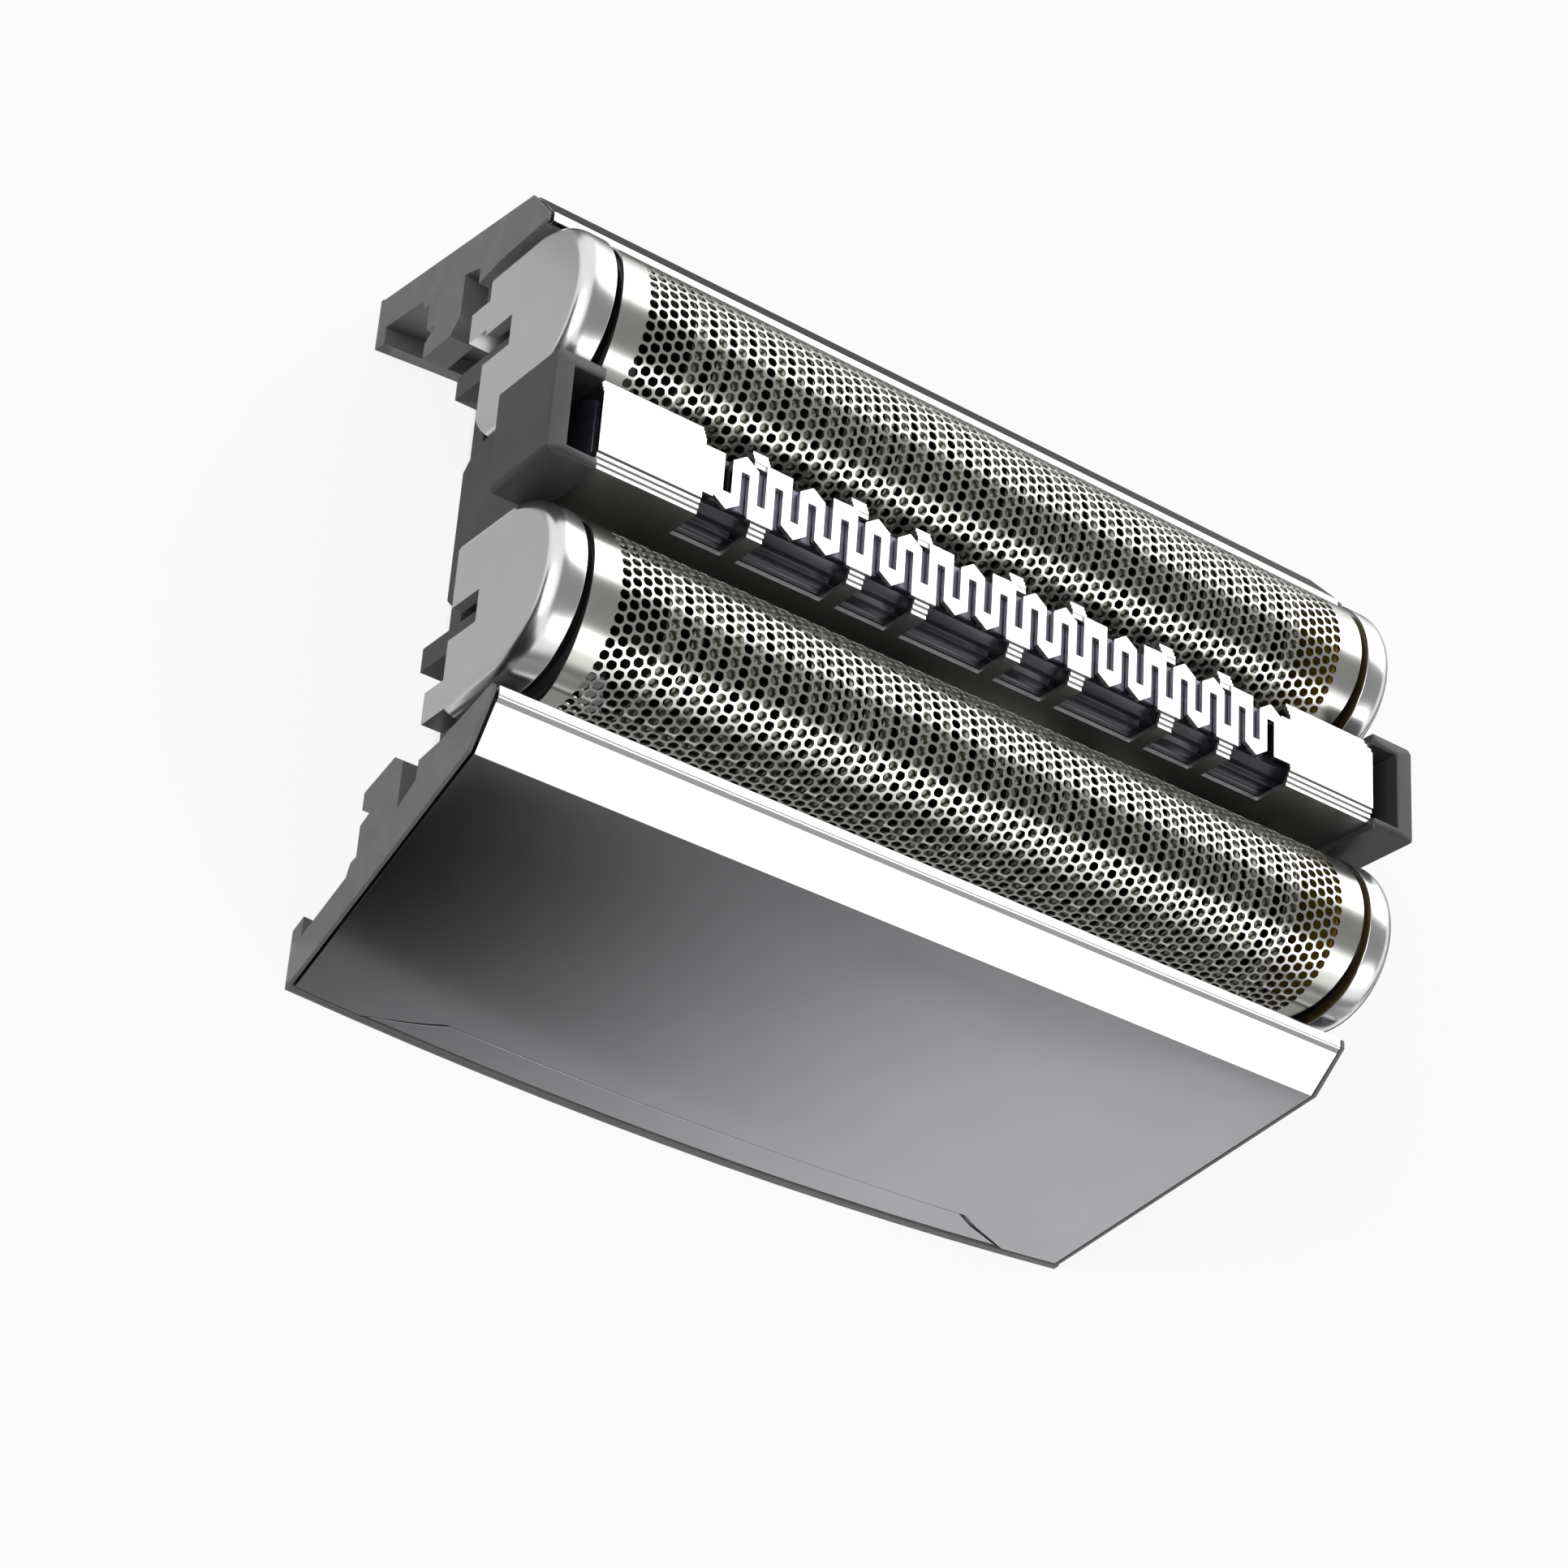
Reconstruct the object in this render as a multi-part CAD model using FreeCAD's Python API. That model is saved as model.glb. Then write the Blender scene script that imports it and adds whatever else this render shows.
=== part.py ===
import FreeCAD, Part
import math
import os

V = FreeCAD.Vector

# Foil head of an electric shaver: two arched foils over cutter blocks, a serpentine trimmer
# between them, and a clip-on frame with a front and a rear panel.
# X runs along the foils, +Y to the rear, +Z towards the skin. The origin is the centre of the
# rectangle that the two panel feet stand on. All sizes are in millimetres.

# Half-length of the foils, which sets the length of everything else
FOIL_HALF = 20.05

# Panels, from foot to top edge
PANEL_OVERHANG = 0.05
PANEL_END_LEAN = 1.8
CAP_PANEL_GAP = 0.91
PANEL_TOP_Z = 17.05
BEVEL_DEPTH = 1.8
BEVEL_FOOT_Z = 15.4
FOOT_SPREAD = 3.9
FOOT_BOW = 0.8
FASCIA_WALL = 0.6
FASCIA_LIP = 0.45
FASCIA_SEAM = 0.06
END_LIP = 0.18
END_SEAM = 0.12
CARRIER_WALL = 1.1
FOOT_RIM = 0.35
FOOT_LEDGE = 0.9
FOOT_LEDGE_HEIGHT = 1.0
GUSSET_WALL = 1.2
GUSSET_FOOT_BAND = 0.5
GUSSET_EDGE_INSET = 1.2
GUSSET_HOOK_Z = 5.7
GRIP_END_INSET = 2.5
GRIP_SLANT = 3.5
GRIP_HEIGHT = 1.75
GRIP_CORNER = 1.2
GRIP_DEPTH = 0.08
GRIP_GROOVE = 0.12
GRIP_GROOVE_DEPTH = 0.3
# Free edge of an end web, from the foot upwards: out from its innermost point, up from its hook
GUSSET_STEPS = [
    (4.55, -1.15), (3.35, -0.5), (3.3, 0), (1.9, 0), (1.6, 1.0), (1.2, 0), (0.4, 0), (0, 2.7),
    (0.56, 3.55), (2.69, 3.53), (2.1, 5.05), (1.25, 5.1), (1.25, 6.9),
]

# Foil units
CAP_BOX_GAP = 0.23
UNIT_AXIS_Z = 16.4
FOIL_RADIUS = 3.85
FOIL_WALL = 0.15
FOIL_FLANK_SETBACK = 0.6
FOIL_SKIRT = 3.1
FOIL_BAND = 1.6
FOIL_ROWS = 6
SLOT_PITCH = 2.7
SLOT_WEB = 0.95
UNIT_TRAVEL = 2.0

# End caps of the foil units
CAP_FOIL_GAP = 0.35
CAP_DEPTH = 1.55
CAP_STEP = 0.09
CAP_WALL = 0.55
CAP_CHAMFER = 0.45
CAP_FOOT_DROP = 0.25
CAP_SLOT_WIDTH = 1.5
CAP_SLOT_HEIGHT = 1.95
LATCH_LEG_NEAR = 1.85
LATCH_LEG_FAR = 3.3
LATCH_LEG_LENGTH = 2.35
LATCH_LEG_ROOT = 1.5

# Foil frames
RAIL_WALL = 0.7
RAIL_DROP = 0.4
RAIL_HEIGHT = 2.7
BRIDGE_LENGTH = 2.85
BRIDGE_RISE = 0.5
BRIDGE_HEIGHT = 1.0
RAIL_TAB_HEIGHT = 1.0
RAIL_TAB_WIDTH = 0.9

# End blocks that hold the ends of a foil to its arch
END_BLOCK_LENGTH = 1.15
END_BLOCK_CAP_GAP = 0.55
END_BLOCK_CHAMFER = 0.3
FORMER_GAP = 0.02

# Cutter blocks
CUTTER_GAP = 0.08
CUTTER_TRAVEL = 1.0
LAMELLA_RIM = 0.95
LAMELLA_WALL = 0.35
LAMELLA_PITCH = 2.4
LAMELLA_FACETS = 10
END_PLATE_WALL = 0.6
END_PLATE_GAP = 1.25
LAMELLA_FOOT = 0.4
PLATFORM_DROP = 0.05
PLATFORM_WALL = 0.6
KEEL_HALF_WIDTH = 1.2
KEEL_BRIDGE_GAP = 0.2
DRIVE_CUP_RADIUS = 2.0
DRIVE_CUP_LOW_Z = 11.1
DRIVE_BORE_RADIUS = 1.1
DRIVE_BORE_DEPTH = 2.1

# Centre trimmer
TRIMMER_TOP_Z = 20.4
TRIMMER_OVERHANG = 0.25
COMB_SHEET = 0.2
PLATE_HALF_WIDTH = 1.4
CHANNEL_HALF_WIDTH = 2.05
RIDGE_STEP = 0.09
RIDGE_COUNT = 3
CHANNEL_HEIGHT = 3.8
WINDOW_DEPTH = 2.1
WINDOW_END_GAP = 0.52
LEG_PITCH = 0.826
LEG_COUNT = 37
LEG_WIDTH = 0.43
SLOT_END_Y = 0.62
SHOULDER_Y = 0.98
PEAK_Y = 1.42
PLATE_NECK_Y = 1.1
TAB_LEGS = [2.5, 8.5, 12.5, 18.5, 22.5, 28.5, 32.5]
TAB_WIDTH = 0.75
BLADE_GAP = 0.06
BLADE_SHEET = 0.2
BLADE_HALF_WIDTH = 1.1
BLADE_TRAVEL = 0.8
BLOCK_GAP = 0.05
BLOCK_RISE = 0.3
BLOCK_FLOOR = 0.6
BLOCK_LEG_WALL = 0.6
SLIDER_HALF_WIDTH = 0.75
SLIDER_GAP = 0.06
STEM_HALF = 1.5
STEM_LENGTH = 2.9
TRIMMER_TRAVEL = 1.5
BOX_LENGTH = 2.34
BOX_HALF_WIDTH = 2.38
BOX_HEIGHT = 4.15
BOX_RISE = 0.05
BOX_WALL = 0.55
BOX_END_WALL = 0.9
BOX_RECESS = 2.4

# Inner frame
GUIDE_FOIL_STEP = 0.2
GUIDE_WALL = 0.7
GUIDE_HALF_WIDTH = 4.0
GUIDE_LOW_Z = 9.5
GUIDE_DROP = 2.3
GUIDE_CORNER = 0.9
GUIDE_RIB_WALL = 0.6
TONGUE_HALF_WIDTH = 0.55
TONGUE_LOW_Z = 9.95
TONGUE_TOP_Z = 15.9
BAR_TOP_Z = 10.8
BAR_LOW_Z = 8.4
BAR_GUIDE_STEP = 1.05
BAR_WIDTH = 2.7
RAIL_BEAM_LOW_Z = 9.3
RAIL_BEAM_TOP_Z = 10.5
RAIL_BEAM_INNER = 2.6
RAIL_BEAM_OUTER = 3.4
SEAT_BAR_INSET = 4.5
SEAT_BAR_HALF = 1.2
RUNNING_GAP = 0.05

# Springs
SPRING_RADIUS = 0.75
SPRING_WIRE = 0.3
SPRING_WIRE_SIDES = 4
SPRING_TURNS = 3
SPRING_TURN_STEPS = 6
SPRING_WELL_Z = 9.0
SPRING_WELL_RADIUS = 1.05
SPRING_PIP_RADIUS = 0.5
SPRING_PIP_HEIGHT = 0.6

# Sizes that follow from the others, outwards from the trimmer
CAP_RADIUS = FOIL_RADIUS + CAP_STEP
UNIT_Y = BOX_HALF_WIDTH + CAP_BOX_GAP + CAP_RADIUS
PANEL_TOP_Y = UNIT_Y + CAP_RADIUS + CAP_PANEL_GAP
BEVEL_FOOT_Y = PANEL_TOP_Y + BEVEL_DEPTH
FOOT_Y = BEVEL_FOOT_Y + FOOT_SPREAD
GUSSET_EDGE_Y = PANEL_TOP_Y - GUSSET_EDGE_INSET

# Heights that follow from the others, down from the foils and from the trimmer's top
FOIL_HEM_Z = UNIT_AXIS_Z - FOIL_SKIRT
CAP_FOOT_Z = FOIL_HEM_Z - CAP_FOOT_DROP
CAP_SLOT_TOP_Z = CAP_FOOT_Z + CAP_SLOT_HEIGHT
LATCH_LEG_Z = CAP_FOOT_Z - LATCH_LEG_LENGTH
RAIL_LOW_Z = FOIL_HEM_Z - RAIL_DROP
RAIL_TOP_Z = RAIL_LOW_Z + RAIL_HEIGHT
BRIDGE_LOW_Z = RAIL_LOW_Z + BRIDGE_RISE
KEEL_LOW_Z = BRIDGE_LOW_Z + BRIDGE_HEIGHT + KEEL_BRIDGE_GAP
PLATFORM_TOP_Z = UNIT_AXIS_Z - PLATFORM_DROP
CHANNEL_LOW_Z = TRIMMER_TOP_Z - CHANNEL_HEIGHT
WINDOW_LOW_Z = TRIMMER_TOP_Z - WINDOW_DEPTH
BLOCK_LOW_Z = CHANNEL_LOW_Z + BLOCK_RISE
STEM_LOW_Z = BLOCK_LOW_Z - STEM_LENGTH
GUIDE_TOP_Z = BLOCK_LOW_Z - GUIDE_DROP
BOX_TOP_Z = TRIMMER_TOP_Z + BOX_RISE
BOX_LOW_Z = BOX_TOP_Z - BOX_HEIGHT


def box(x0, x1, y0, y1, z0, z1):
    """Upright block between two corners."""
    low = V(min(x0, x1), min(y0, y1), min(z0, z1))
    return Part.makeBox(abs(x1 - x0), abs(y1 - y0), abs(z1 - z0), low)


def polygon_prism(points, direction):
    """Solid swept from a closed flat outline."""
    outline = Part.makePolygon(points + [points[0]])
    return Part.Face(outline).extrude(direction)


def prism_x(points_yz, x0, x1):
    """Outline in the YZ plane, swept along X."""
    return polygon_prism([V(x0, y, z) for y, z in points_yz], V(x1 - x0, 0, 0))


def prism_y(points_xz, y0, y1):
    """Outline in the XZ plane, swept along Y."""
    return polygon_prism([V(x, y0, z) for x, z in points_xz], V(0, y1 - y0, 0))


def prism_z(points_xy, z0, z1):
    """Outline in the XY plane, swept along Z."""
    return polygon_prism([V(x, y, z0) for x, y in points_xy], V(0, 0, z1 - z0))


def arch(x0, x1, radius, low_z):
    """Round-topped prism on the axis of a foil unit, straight-sided down to low_z."""
    corner_a = V(x0, UNIT_Y - radius, low_z)
    spring_a = V(x0, UNIT_Y - radius, UNIT_AXIS_Z)
    crown = V(x0, UNIT_Y, UNIT_AXIS_Z + radius)
    spring_b = V(x0, UNIT_Y + radius, UNIT_AXIS_Z)
    corner_b = V(x0, UNIT_Y + radius, low_z)
    edges = [
        Part.LineSegment(corner_a, spring_a).toShape(),
        Part.Arc(spring_a, crown, spring_b).toShape(),
        Part.LineSegment(spring_b, corner_b).toShape(),
        Part.LineSegment(corner_b, corner_a).toShape(),
    ]
    return Part.Face(Part.Wire(edges)).extrude(V(x1 - x0, 0, 0))


def mirrored_x(shape):
    """Twin of a piece at the other end."""
    return shape.mirror(V(0, 0, 0), V(1, 0, 0))


def mirrored_y(shape):
    """Twin of a piece on the other side."""
    return shape.mirror(V(0, 0, 0), V(0, 1, 0))


def both_ends(shape):
    """A piece and its twin at the other end."""
    return [shape, mirrored_x(shape)]


def wire_section(turn, z):
    """Cross-section of a spring's wire at an angle round the coil."""
    outward = V(math.cos(turn), math.sin(turn), 0)
    centre = outward * SPRING_RADIUS + V(0, 0, z)
    points = []
    for k in range(SPRING_WIRE_SIDES):
        angle = 2 * math.pi * k / SPRING_WIRE_SIDES
        points.append(centre + outward * (SPRING_WIRE / 2 * math.cos(angle))
                      + V(0, 0, SPRING_WIRE / 2 * math.sin(angle)))
    return Part.makePolygon(points + [points[0]])


def coil_spring(x, y, low_z, top_z):
    """Helical compression spring standing between two seats."""
    steps = SPRING_TURNS * SPRING_TURN_STEPS
    rise = (top_z - low_z - SPRING_WIRE) / steps
    sections = []
    for k in range(steps + 1):
        turn = 2 * math.pi * k / SPRING_TURN_STEPS
        sections.append(wire_section(turn, low_z + SPRING_WIRE / 2 + k * rise))
    coil = Part.makeLoft(sections, True, True)
    return coil.translated(V(x, y, 0))


# Stations along X, all counted from the ends of the foils

def flank_end():
    """End of a foil's straight flanks, which lie a little short of its crown."""
    return FOIL_HALF - FOIL_FLANK_SETBACK


def cap_inner():
    """Inner face of an end cap."""
    return FOIL_HALF + CAP_FOIL_GAP


def cap_half():
    """Outer face of an end cap."""
    return cap_inner() + CAP_DEPTH


def panel_top_half():
    """End of a panel at its top edge."""
    return cap_half() + PANEL_OVERHANG


def guide_outer():
    """Outer face of a guide plate."""
    return FOIL_HALF + GUIDE_FOIL_STEP


def trimmer_half():
    """End of the trimmer's channel."""
    return guide_outer() + TRIMMER_OVERHANG


def bar_outer():
    """Outer face of an end bar."""
    return guide_outer() - BAR_GUIDE_STEP


def bar_inner():
    """Inner face of an end bar."""
    return bar_outer() - BAR_WIDTH


def unit_spring_x():
    """Axis of a foil spring, in the middle of the end bar."""
    return (bar_outer() + bar_inner()) / 2


def seat_bar_x():
    """Axis of a trimmer spring and of the bar that it stands on."""
    return bar_inner() - SEAT_BAR_INSET


def former_inner():
    """Inner face of the block that holds the end of a foil to its arch."""
    return cap_inner() - END_BLOCK_CAP_GAP - END_BLOCK_LENGTH


# Panels: the rear one is modelled, and the front one is its mirror image

def face_y(z):
    """Outer face of the rear panel at a height, at its ends."""
    share = z / BEVEL_FOOT_Z
    return FOOT_Y + (BEVEL_FOOT_Y - FOOT_Y) * share


def half_length(z):
    """Half-length of a panel at a height: the ends lean in towards the foot."""
    return panel_top_half() - PANEL_END_LEAN * (1 - z / PANEL_TOP_Z)


def bowed_section(z, outer_inset, inner_inset, end_inset):
    """Level outline of a panel wall, bowed outwards more the lower it lies."""
    reach = half_length(z) - end_inset
    outer = face_y(z) - outer_inset
    inner = face_y(z) - inner_inset
    bow = FOOT_BOW * (1 - z / BEVEL_FOOT_Z)
    corners = [V(-reach, outer, z), V(reach, outer, z), V(reach, inner, z), V(-reach, inner, z)]

    def side(start, end, level):
        if bow < 0.001:
            return Part.LineSegment(start, end).toShape()
        return Part.Arc(start, V(0, level + bow, z), end).toShape()

    edges = [
        side(corners[0], corners[1], outer),
        Part.LineSegment(corners[1], corners[2]).toShape(),
        side(corners[2], corners[3], inner),
        Part.LineSegment(corners[3], corners[0]).toShape(),
    ]
    return Part.Wire(edges)


def bowed_wall(low_z, top_z, outer_inset, inner_inset, end_inset=0.0):
    """Panel wall between two heights, with the bow of the foot fading out upwards."""
    sections = [bowed_section(z, outer_inset, inner_inset, end_inset) for z in (low_z, top_z)]
    return Part.makeLoft(sections, True, True)


def end_trim(inset):
    """Wedge-ended block that trims a panel piece to the lean of the panel ends."""
    low_z = -1.0
    top_z = PANEL_TOP_Z + 1.0
    low = half_length(low_z) - inset
    top = half_length(top_z) - inset
    outline = [(-low, low_z), (low, low_z), (top, top_z), (-top, top_z)]
    return prism_y(outline, 0, FOOT_Y + 2 * FOOT_BOW)


def grip_field(inset):
    """Upright block over the finger recess along the foot of a fascia, drawn in by an inset."""
    slope = math.atan2(GRIP_HEIGHT, GRIP_SLANT)
    foot_half = half_length(0) - GRIP_END_INSET - inset / math.sin(slope)
    top_half = foot_half - GRIP_SLANT
    top_z = GRIP_HEIGHT - inset
    shoulder_z = top_z - GRIP_CORNER * 0.45
    outline = [
        (-foot_half, 0),
        (-top_half - GRIP_CORNER * 0.4, shoulder_z),
        (-top_half + GRIP_CORNER * 0.5, top_z),
        (top_half - GRIP_CORNER * 0.5, top_z),
        (top_half + GRIP_CORNER * 0.4, shoulder_z),
        (foot_half, 0),
    ]
    inside = face_y(GRIP_HEIGHT) - FASCIA_WALL
    return prism_y(outline, inside, FOOT_Y + 2 * FOOT_BOW)


def skin_of(wall, depth):
    """Outermost layer of a panel wall."""
    return wall.cut(wall.translated(V(0, -depth, 0)))


def fascia():
    """Silver skin of the rear panel: flat face, bevel, a lip over the top edge, finger recess."""
    end_inset = END_LIP + END_SEAM
    wall = bowed_wall(FOOT_RIM, BEVEL_FOOT_Z, 0, FASCIA_WALL, end_inset)
    lip_y = PANEL_TOP_Y - FASCIA_LIP
    lip_z = PANEL_TOP_Z - FASCIA_WALL / 2
    bevel = prism_x([
        (BEVEL_FOOT_Y, BEVEL_FOOT_Z),
        (PANEL_TOP_Y, PANEL_TOP_Z),
        (lip_y, PANEL_TOP_Z),
        (lip_y, lip_z),
        (PANEL_TOP_Y - FASCIA_WALL / 2, lip_z),
        (BEVEL_FOOT_Y - FASCIA_WALL, BEVEL_FOOT_Z),
    ], -panel_top_half() - 1, panel_top_half() + 1)
    skin = wall.fuse(bevel.common(end_trim(end_inset))).removeSplitter()
    field = grip_field(0)
    recess = skin_of(wall, GRIP_DEPTH).common(field)
    groove = skin_of(wall, GRIP_GROOVE_DEPTH).common(field.cut(grip_field(GRIP_GROOVE)))
    return skin.cut(recess).cut(groove)


def gusset_outline():
    """End web of a panel, from the foot up its free edge and back down behind the fascia."""
    seam = FASCIA_WALL + FASCIA_SEAM
    top_z = PANEL_TOP_Z - FASCIA_WALL / 2 - FASCIA_SEAM
    foot = [(face_y(0) - seam, 0), (face_y(0) - seam - GUSSET_FOOT_BAND, 0)]
    free_edge = [(GUSSET_EDGE_Y + out, GUSSET_HOOK_Z + up) for out, up in GUSSET_STEPS]
    return foot + free_edge + [
        (PANEL_TOP_Y - FASCIA_LIP, top_z),
        (PANEL_TOP_Y - seam / 2, top_z),
        (BEVEL_FOOT_Y - seam, BEVEL_FOOT_Z),
    ]


def end_lips():
    """Thin lips of the carrier that cover the ends of the fascia, almost flush with its face."""
    seam = FASCIA_WALL + FASCIA_SEAM
    wall = bowed_wall(FOOT_RIM - FASCIA_SEAM, BEVEL_FOOT_Z, FASCIA_SEAM, seam + CARRIER_WALL / 2)
    reach = panel_top_half() + 1
    bevel = prism_x([
        (BEVEL_FOOT_Y - FASCIA_SEAM, BEVEL_FOOT_Z),
        (PANEL_TOP_Y - FASCIA_SEAM, PANEL_TOP_Z - FASCIA_SEAM),
        (PANEL_TOP_Y - FASCIA_LIP, PANEL_TOP_Z - FASCIA_SEAM),
        (PANEL_TOP_Y - FASCIA_LIP, PANEL_TOP_Z - seam),
        (BEVEL_FOOT_Y - seam - CARRIER_WALL / 2, BEVEL_FOOT_Z),
    ], -reach, reach)
    shell = end_trim(0).cut(end_trim(END_LIP))
    return wall.common(shell).Solids + bevel.common(shell).Solids


def panel_carrier():
    """Grey moulding behind the rear fascia: wall, foot rim and ledge, an end web and lip each side."""
    seam = FASCIA_WALL + FASCIA_SEAM
    top_z = BEVEL_FOOT_Z
    wall = bowed_wall(0, top_z, seam, seam + CARRIER_WALL)
    rim = bowed_wall(0, FOOT_RIM - FASCIA_SEAM, 0, seam + CARRIER_WALL)
    ledge = bowed_wall(0, FOOT_LEDGE_HEIGHT, seam, seam + CARRIER_WALL + FOOT_LEDGE)
    shell = end_trim(0).cut(end_trim(GUSSET_WALL))
    reach = panel_top_half() + 1
    webs = prism_x(gusset_outline(), -reach, reach).common(shell)
    crown = prism_x([
        (BEVEL_FOOT_Y - seam, top_z),
        (BEVEL_FOOT_Y - seam - CARRIER_WALL, top_z),
        (PANEL_TOP_Y - FASCIA_LIP, PANEL_TOP_Z - FASCIA_WALL / 2 - FASCIA_SEAM),
        (PANEL_TOP_Y - seam / 2, PANEL_TOP_Z - FASCIA_WALL / 2 - FASCIA_SEAM),
    ], -reach, reach).common(end_trim(0))
    body = wall.multiFuse([rim, ledge, crown] + webs.Solids + end_lips())
    return body.removeSplitter()


# Foil unit: the rear one is modelled, and the front one is its mirror image

def foil_slots():
    """Punches on a staggered lattice, each pointing at the axis of the foil."""
    row_angle = 180 / FOIL_ROWS
    row_pitch = math.radians(row_angle) * FOIL_RADIUS
    width = row_pitch - SLOT_WEB
    length = SLOT_PITCH - SLOT_WEB
    field = flank_end() - FOIL_BAND + SLOT_WEB / 2
    columns = int(2 * field / SLOT_PITCH)
    punches = []
    for row in range(FOIL_ROWS):
        count = columns - row % 2
        for column in range(count):
            x = (column - (count - 1) / 2) * SLOT_PITCH
            punch = box(x - length / 2, x + length / 2, -width / 2, width / 2,
                        FOIL_RADIUS - 1, FOIL_RADIUS + 1)
            punch.rotate(V(0, 0, 0), V(1, 0, 0), (row + 0.5) * row_angle - 90)
            punch.translate(V(0, UNIT_Y, UNIT_AXIS_Z))
            punches.append(punch)
    return punches


def foil():
    """Perforated sheet bent to an arch, with plain end bands and ends that draw in at the flanks."""
    reach = FOIL_HALF + 1
    outer = arch(-reach, reach, FOIL_RADIUS, FOIL_HEM_Z)
    inner = arch(-reach - 1, reach + 1, FOIL_RADIUS - FOIL_WALL, FOIL_HEM_Z - 1)
    flank = flank_end()
    crown_z = UNIT_AXIS_Z + FOIL_RADIUS
    trim = prism_y([
        (-flank, FOIL_HEM_Z),
        (flank, FOIL_HEM_Z),
        (flank, UNIT_AXIS_Z),
        (FOIL_HALF, crown_z),
        (-FOIL_HALF, crown_z),
        (-flank, UNIT_AXIS_Z),
    ], UNIT_Y - 2 * FOIL_RADIUS, UNIT_Y + 2 * FOIL_RADIUS)
    return outer.cut(inner).common(trim).cut(Part.makeCompound(foil_slots()))


def cap():
    """Round-topped end cap at +X: a shell open to the foil and below, with slot and latch leg."""
    inner_x = cap_inner()
    outer_x = cap_half()
    body = arch(inner_x, outer_x, CAP_RADIUS, CAP_FOOT_Z)
    rim = [e for e in body.Edges if on_outer_rim(e, outer_x, CAP_FOOT_Z)]
    body = body.makeChamfer(min(CAP_CHAMFER, 0.6 * CAP_DEPTH), rim)
    hollow = arch(inner_x - 1, outer_x - CAP_WALL, CAP_RADIUS - CAP_WALL, CAP_FOOT_Z - 1)
    slot = box(inner_x, outer_x + 1, UNIT_Y - CAP_SLOT_WIDTH / 2, UNIT_Y + CAP_SLOT_WIDTH / 2,
               CAP_FOOT_Z - 1, CAP_SLOT_TOP_Z)
    leg = box(inner_x, outer_x - CAP_WALL, UNIT_Y + LATCH_LEG_NEAR, UNIT_Y + LATCH_LEG_FAR,
              LATCH_LEG_Z, CAP_FOOT_Z + LATCH_LEG_ROOT)
    return body.cut(hollow).cut(slot).fuse(leg).removeSplitter()


def on_outer_rim(edge, outer_x, foot_z):
    """True for the edges round the outer face of an arched piece at +X, apart from its foot."""
    bounds = edge.BoundBox
    return bounds.XMin > outer_x - 0.01 and bounds.ZMax > foot_z + 0.1


def end_block():
    """Arched block at +X that holds the end of the foil, set back from the cap."""
    start = former_inner()
    end = cap_inner() - END_BLOCK_CAP_GAP
    low_z = RAIL_TOP_Z
    block = arch(start, end, FOIL_RADIUS - FOIL_WALL - FORMER_GAP, low_z)
    rim = [e for e in block.Edges if on_outer_rim(e, end, low_z)]
    return block.makeChamfer(END_BLOCK_CHAMFER, rim)


def foil_frame():
    """Plastic frame under a foil: two rails, an end bridge with a spring pip, and tabs for the caps."""
    outer = FOIL_RADIUS - FOIL_WALL
    inner = outer - RAIL_WALL
    rail_end = flank_end()
    cap_wall_x = cap_half() - CAP_WALL
    ring = box(-rail_end, rail_end, UNIT_Y - outer, UNIT_Y + outer, RAIL_LOW_Z, RAIL_TOP_Z)
    ring = ring.cut(box(-rail_end, rail_end, UNIT_Y - inner, UNIT_Y + inner, RAIL_LOW_Z, RAIL_TOP_Z))
    parts = []
    tab_outer = CAP_RADIUS - CAP_WALL - RUNNING_GAP
    for side in (-1, 1):
        near = UNIT_Y + side * (tab_outer - RAIL_TAB_WIDTH)
        far = UNIT_Y + side * tab_outer
        tab = box(rail_end - RAIL_WALL, cap_wall_x, near, far,
                  RAIL_TOP_Z - RAIL_TAB_HEIGHT, RAIL_TOP_Z)
        parts += both_ends(tab)
    bridge = box(rail_end - BRIDGE_LENGTH, rail_end, UNIT_Y - inner, UNIT_Y + inner,
                 BRIDGE_LOW_Z, BRIDGE_LOW_Z + BRIDGE_HEIGHT)
    pip = Part.makeCylinder(SPRING_PIP_RADIUS, SPRING_PIP_HEIGHT,
                            V(unit_spring_x(), UNIT_Y, BRIDGE_LOW_Z - SPRING_PIP_HEIGHT))
    parts += both_ends(bridge) + both_ends(pip)
    return ring.multiFuse(parts).removeSplitter()


# Cutter block under a foil

def lamella_radius():
    """Radius of the cutting edges, just clear of the foil."""
    return FOIL_RADIUS - FOIL_WALL - CUTTER_GAP


def lamella_count():
    """Number of lamellae that fit between the end blocks, with room for the stroke."""
    reach = former_inner() - CUTTER_TRAVEL - END_PLATE_GAP - END_PLATE_WALL
    return int((2 * reach - LAMELLA_WALL) / LAMELLA_PITCH) + 1


def pack_half():
    """Half-length of the row of lamellae."""
    return (lamella_count() - 1) * LAMELLA_PITCH / 2 + LAMELLA_WALL / 2


def half_ring(radius, low_z, facets):
    """Outline of an arch on the axis of a foil unit, with a few straight sides for its round."""
    points = [(UNIT_Y - radius, low_z)]
    for k in range(facets + 1):
        angle = math.pi * (1 - k / facets)
        points.append((UNIT_Y + radius * math.cos(angle), UNIT_AXIS_Z + radius * math.sin(angle)))
    return points + [(UNIT_Y + radius, low_z)]


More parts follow.
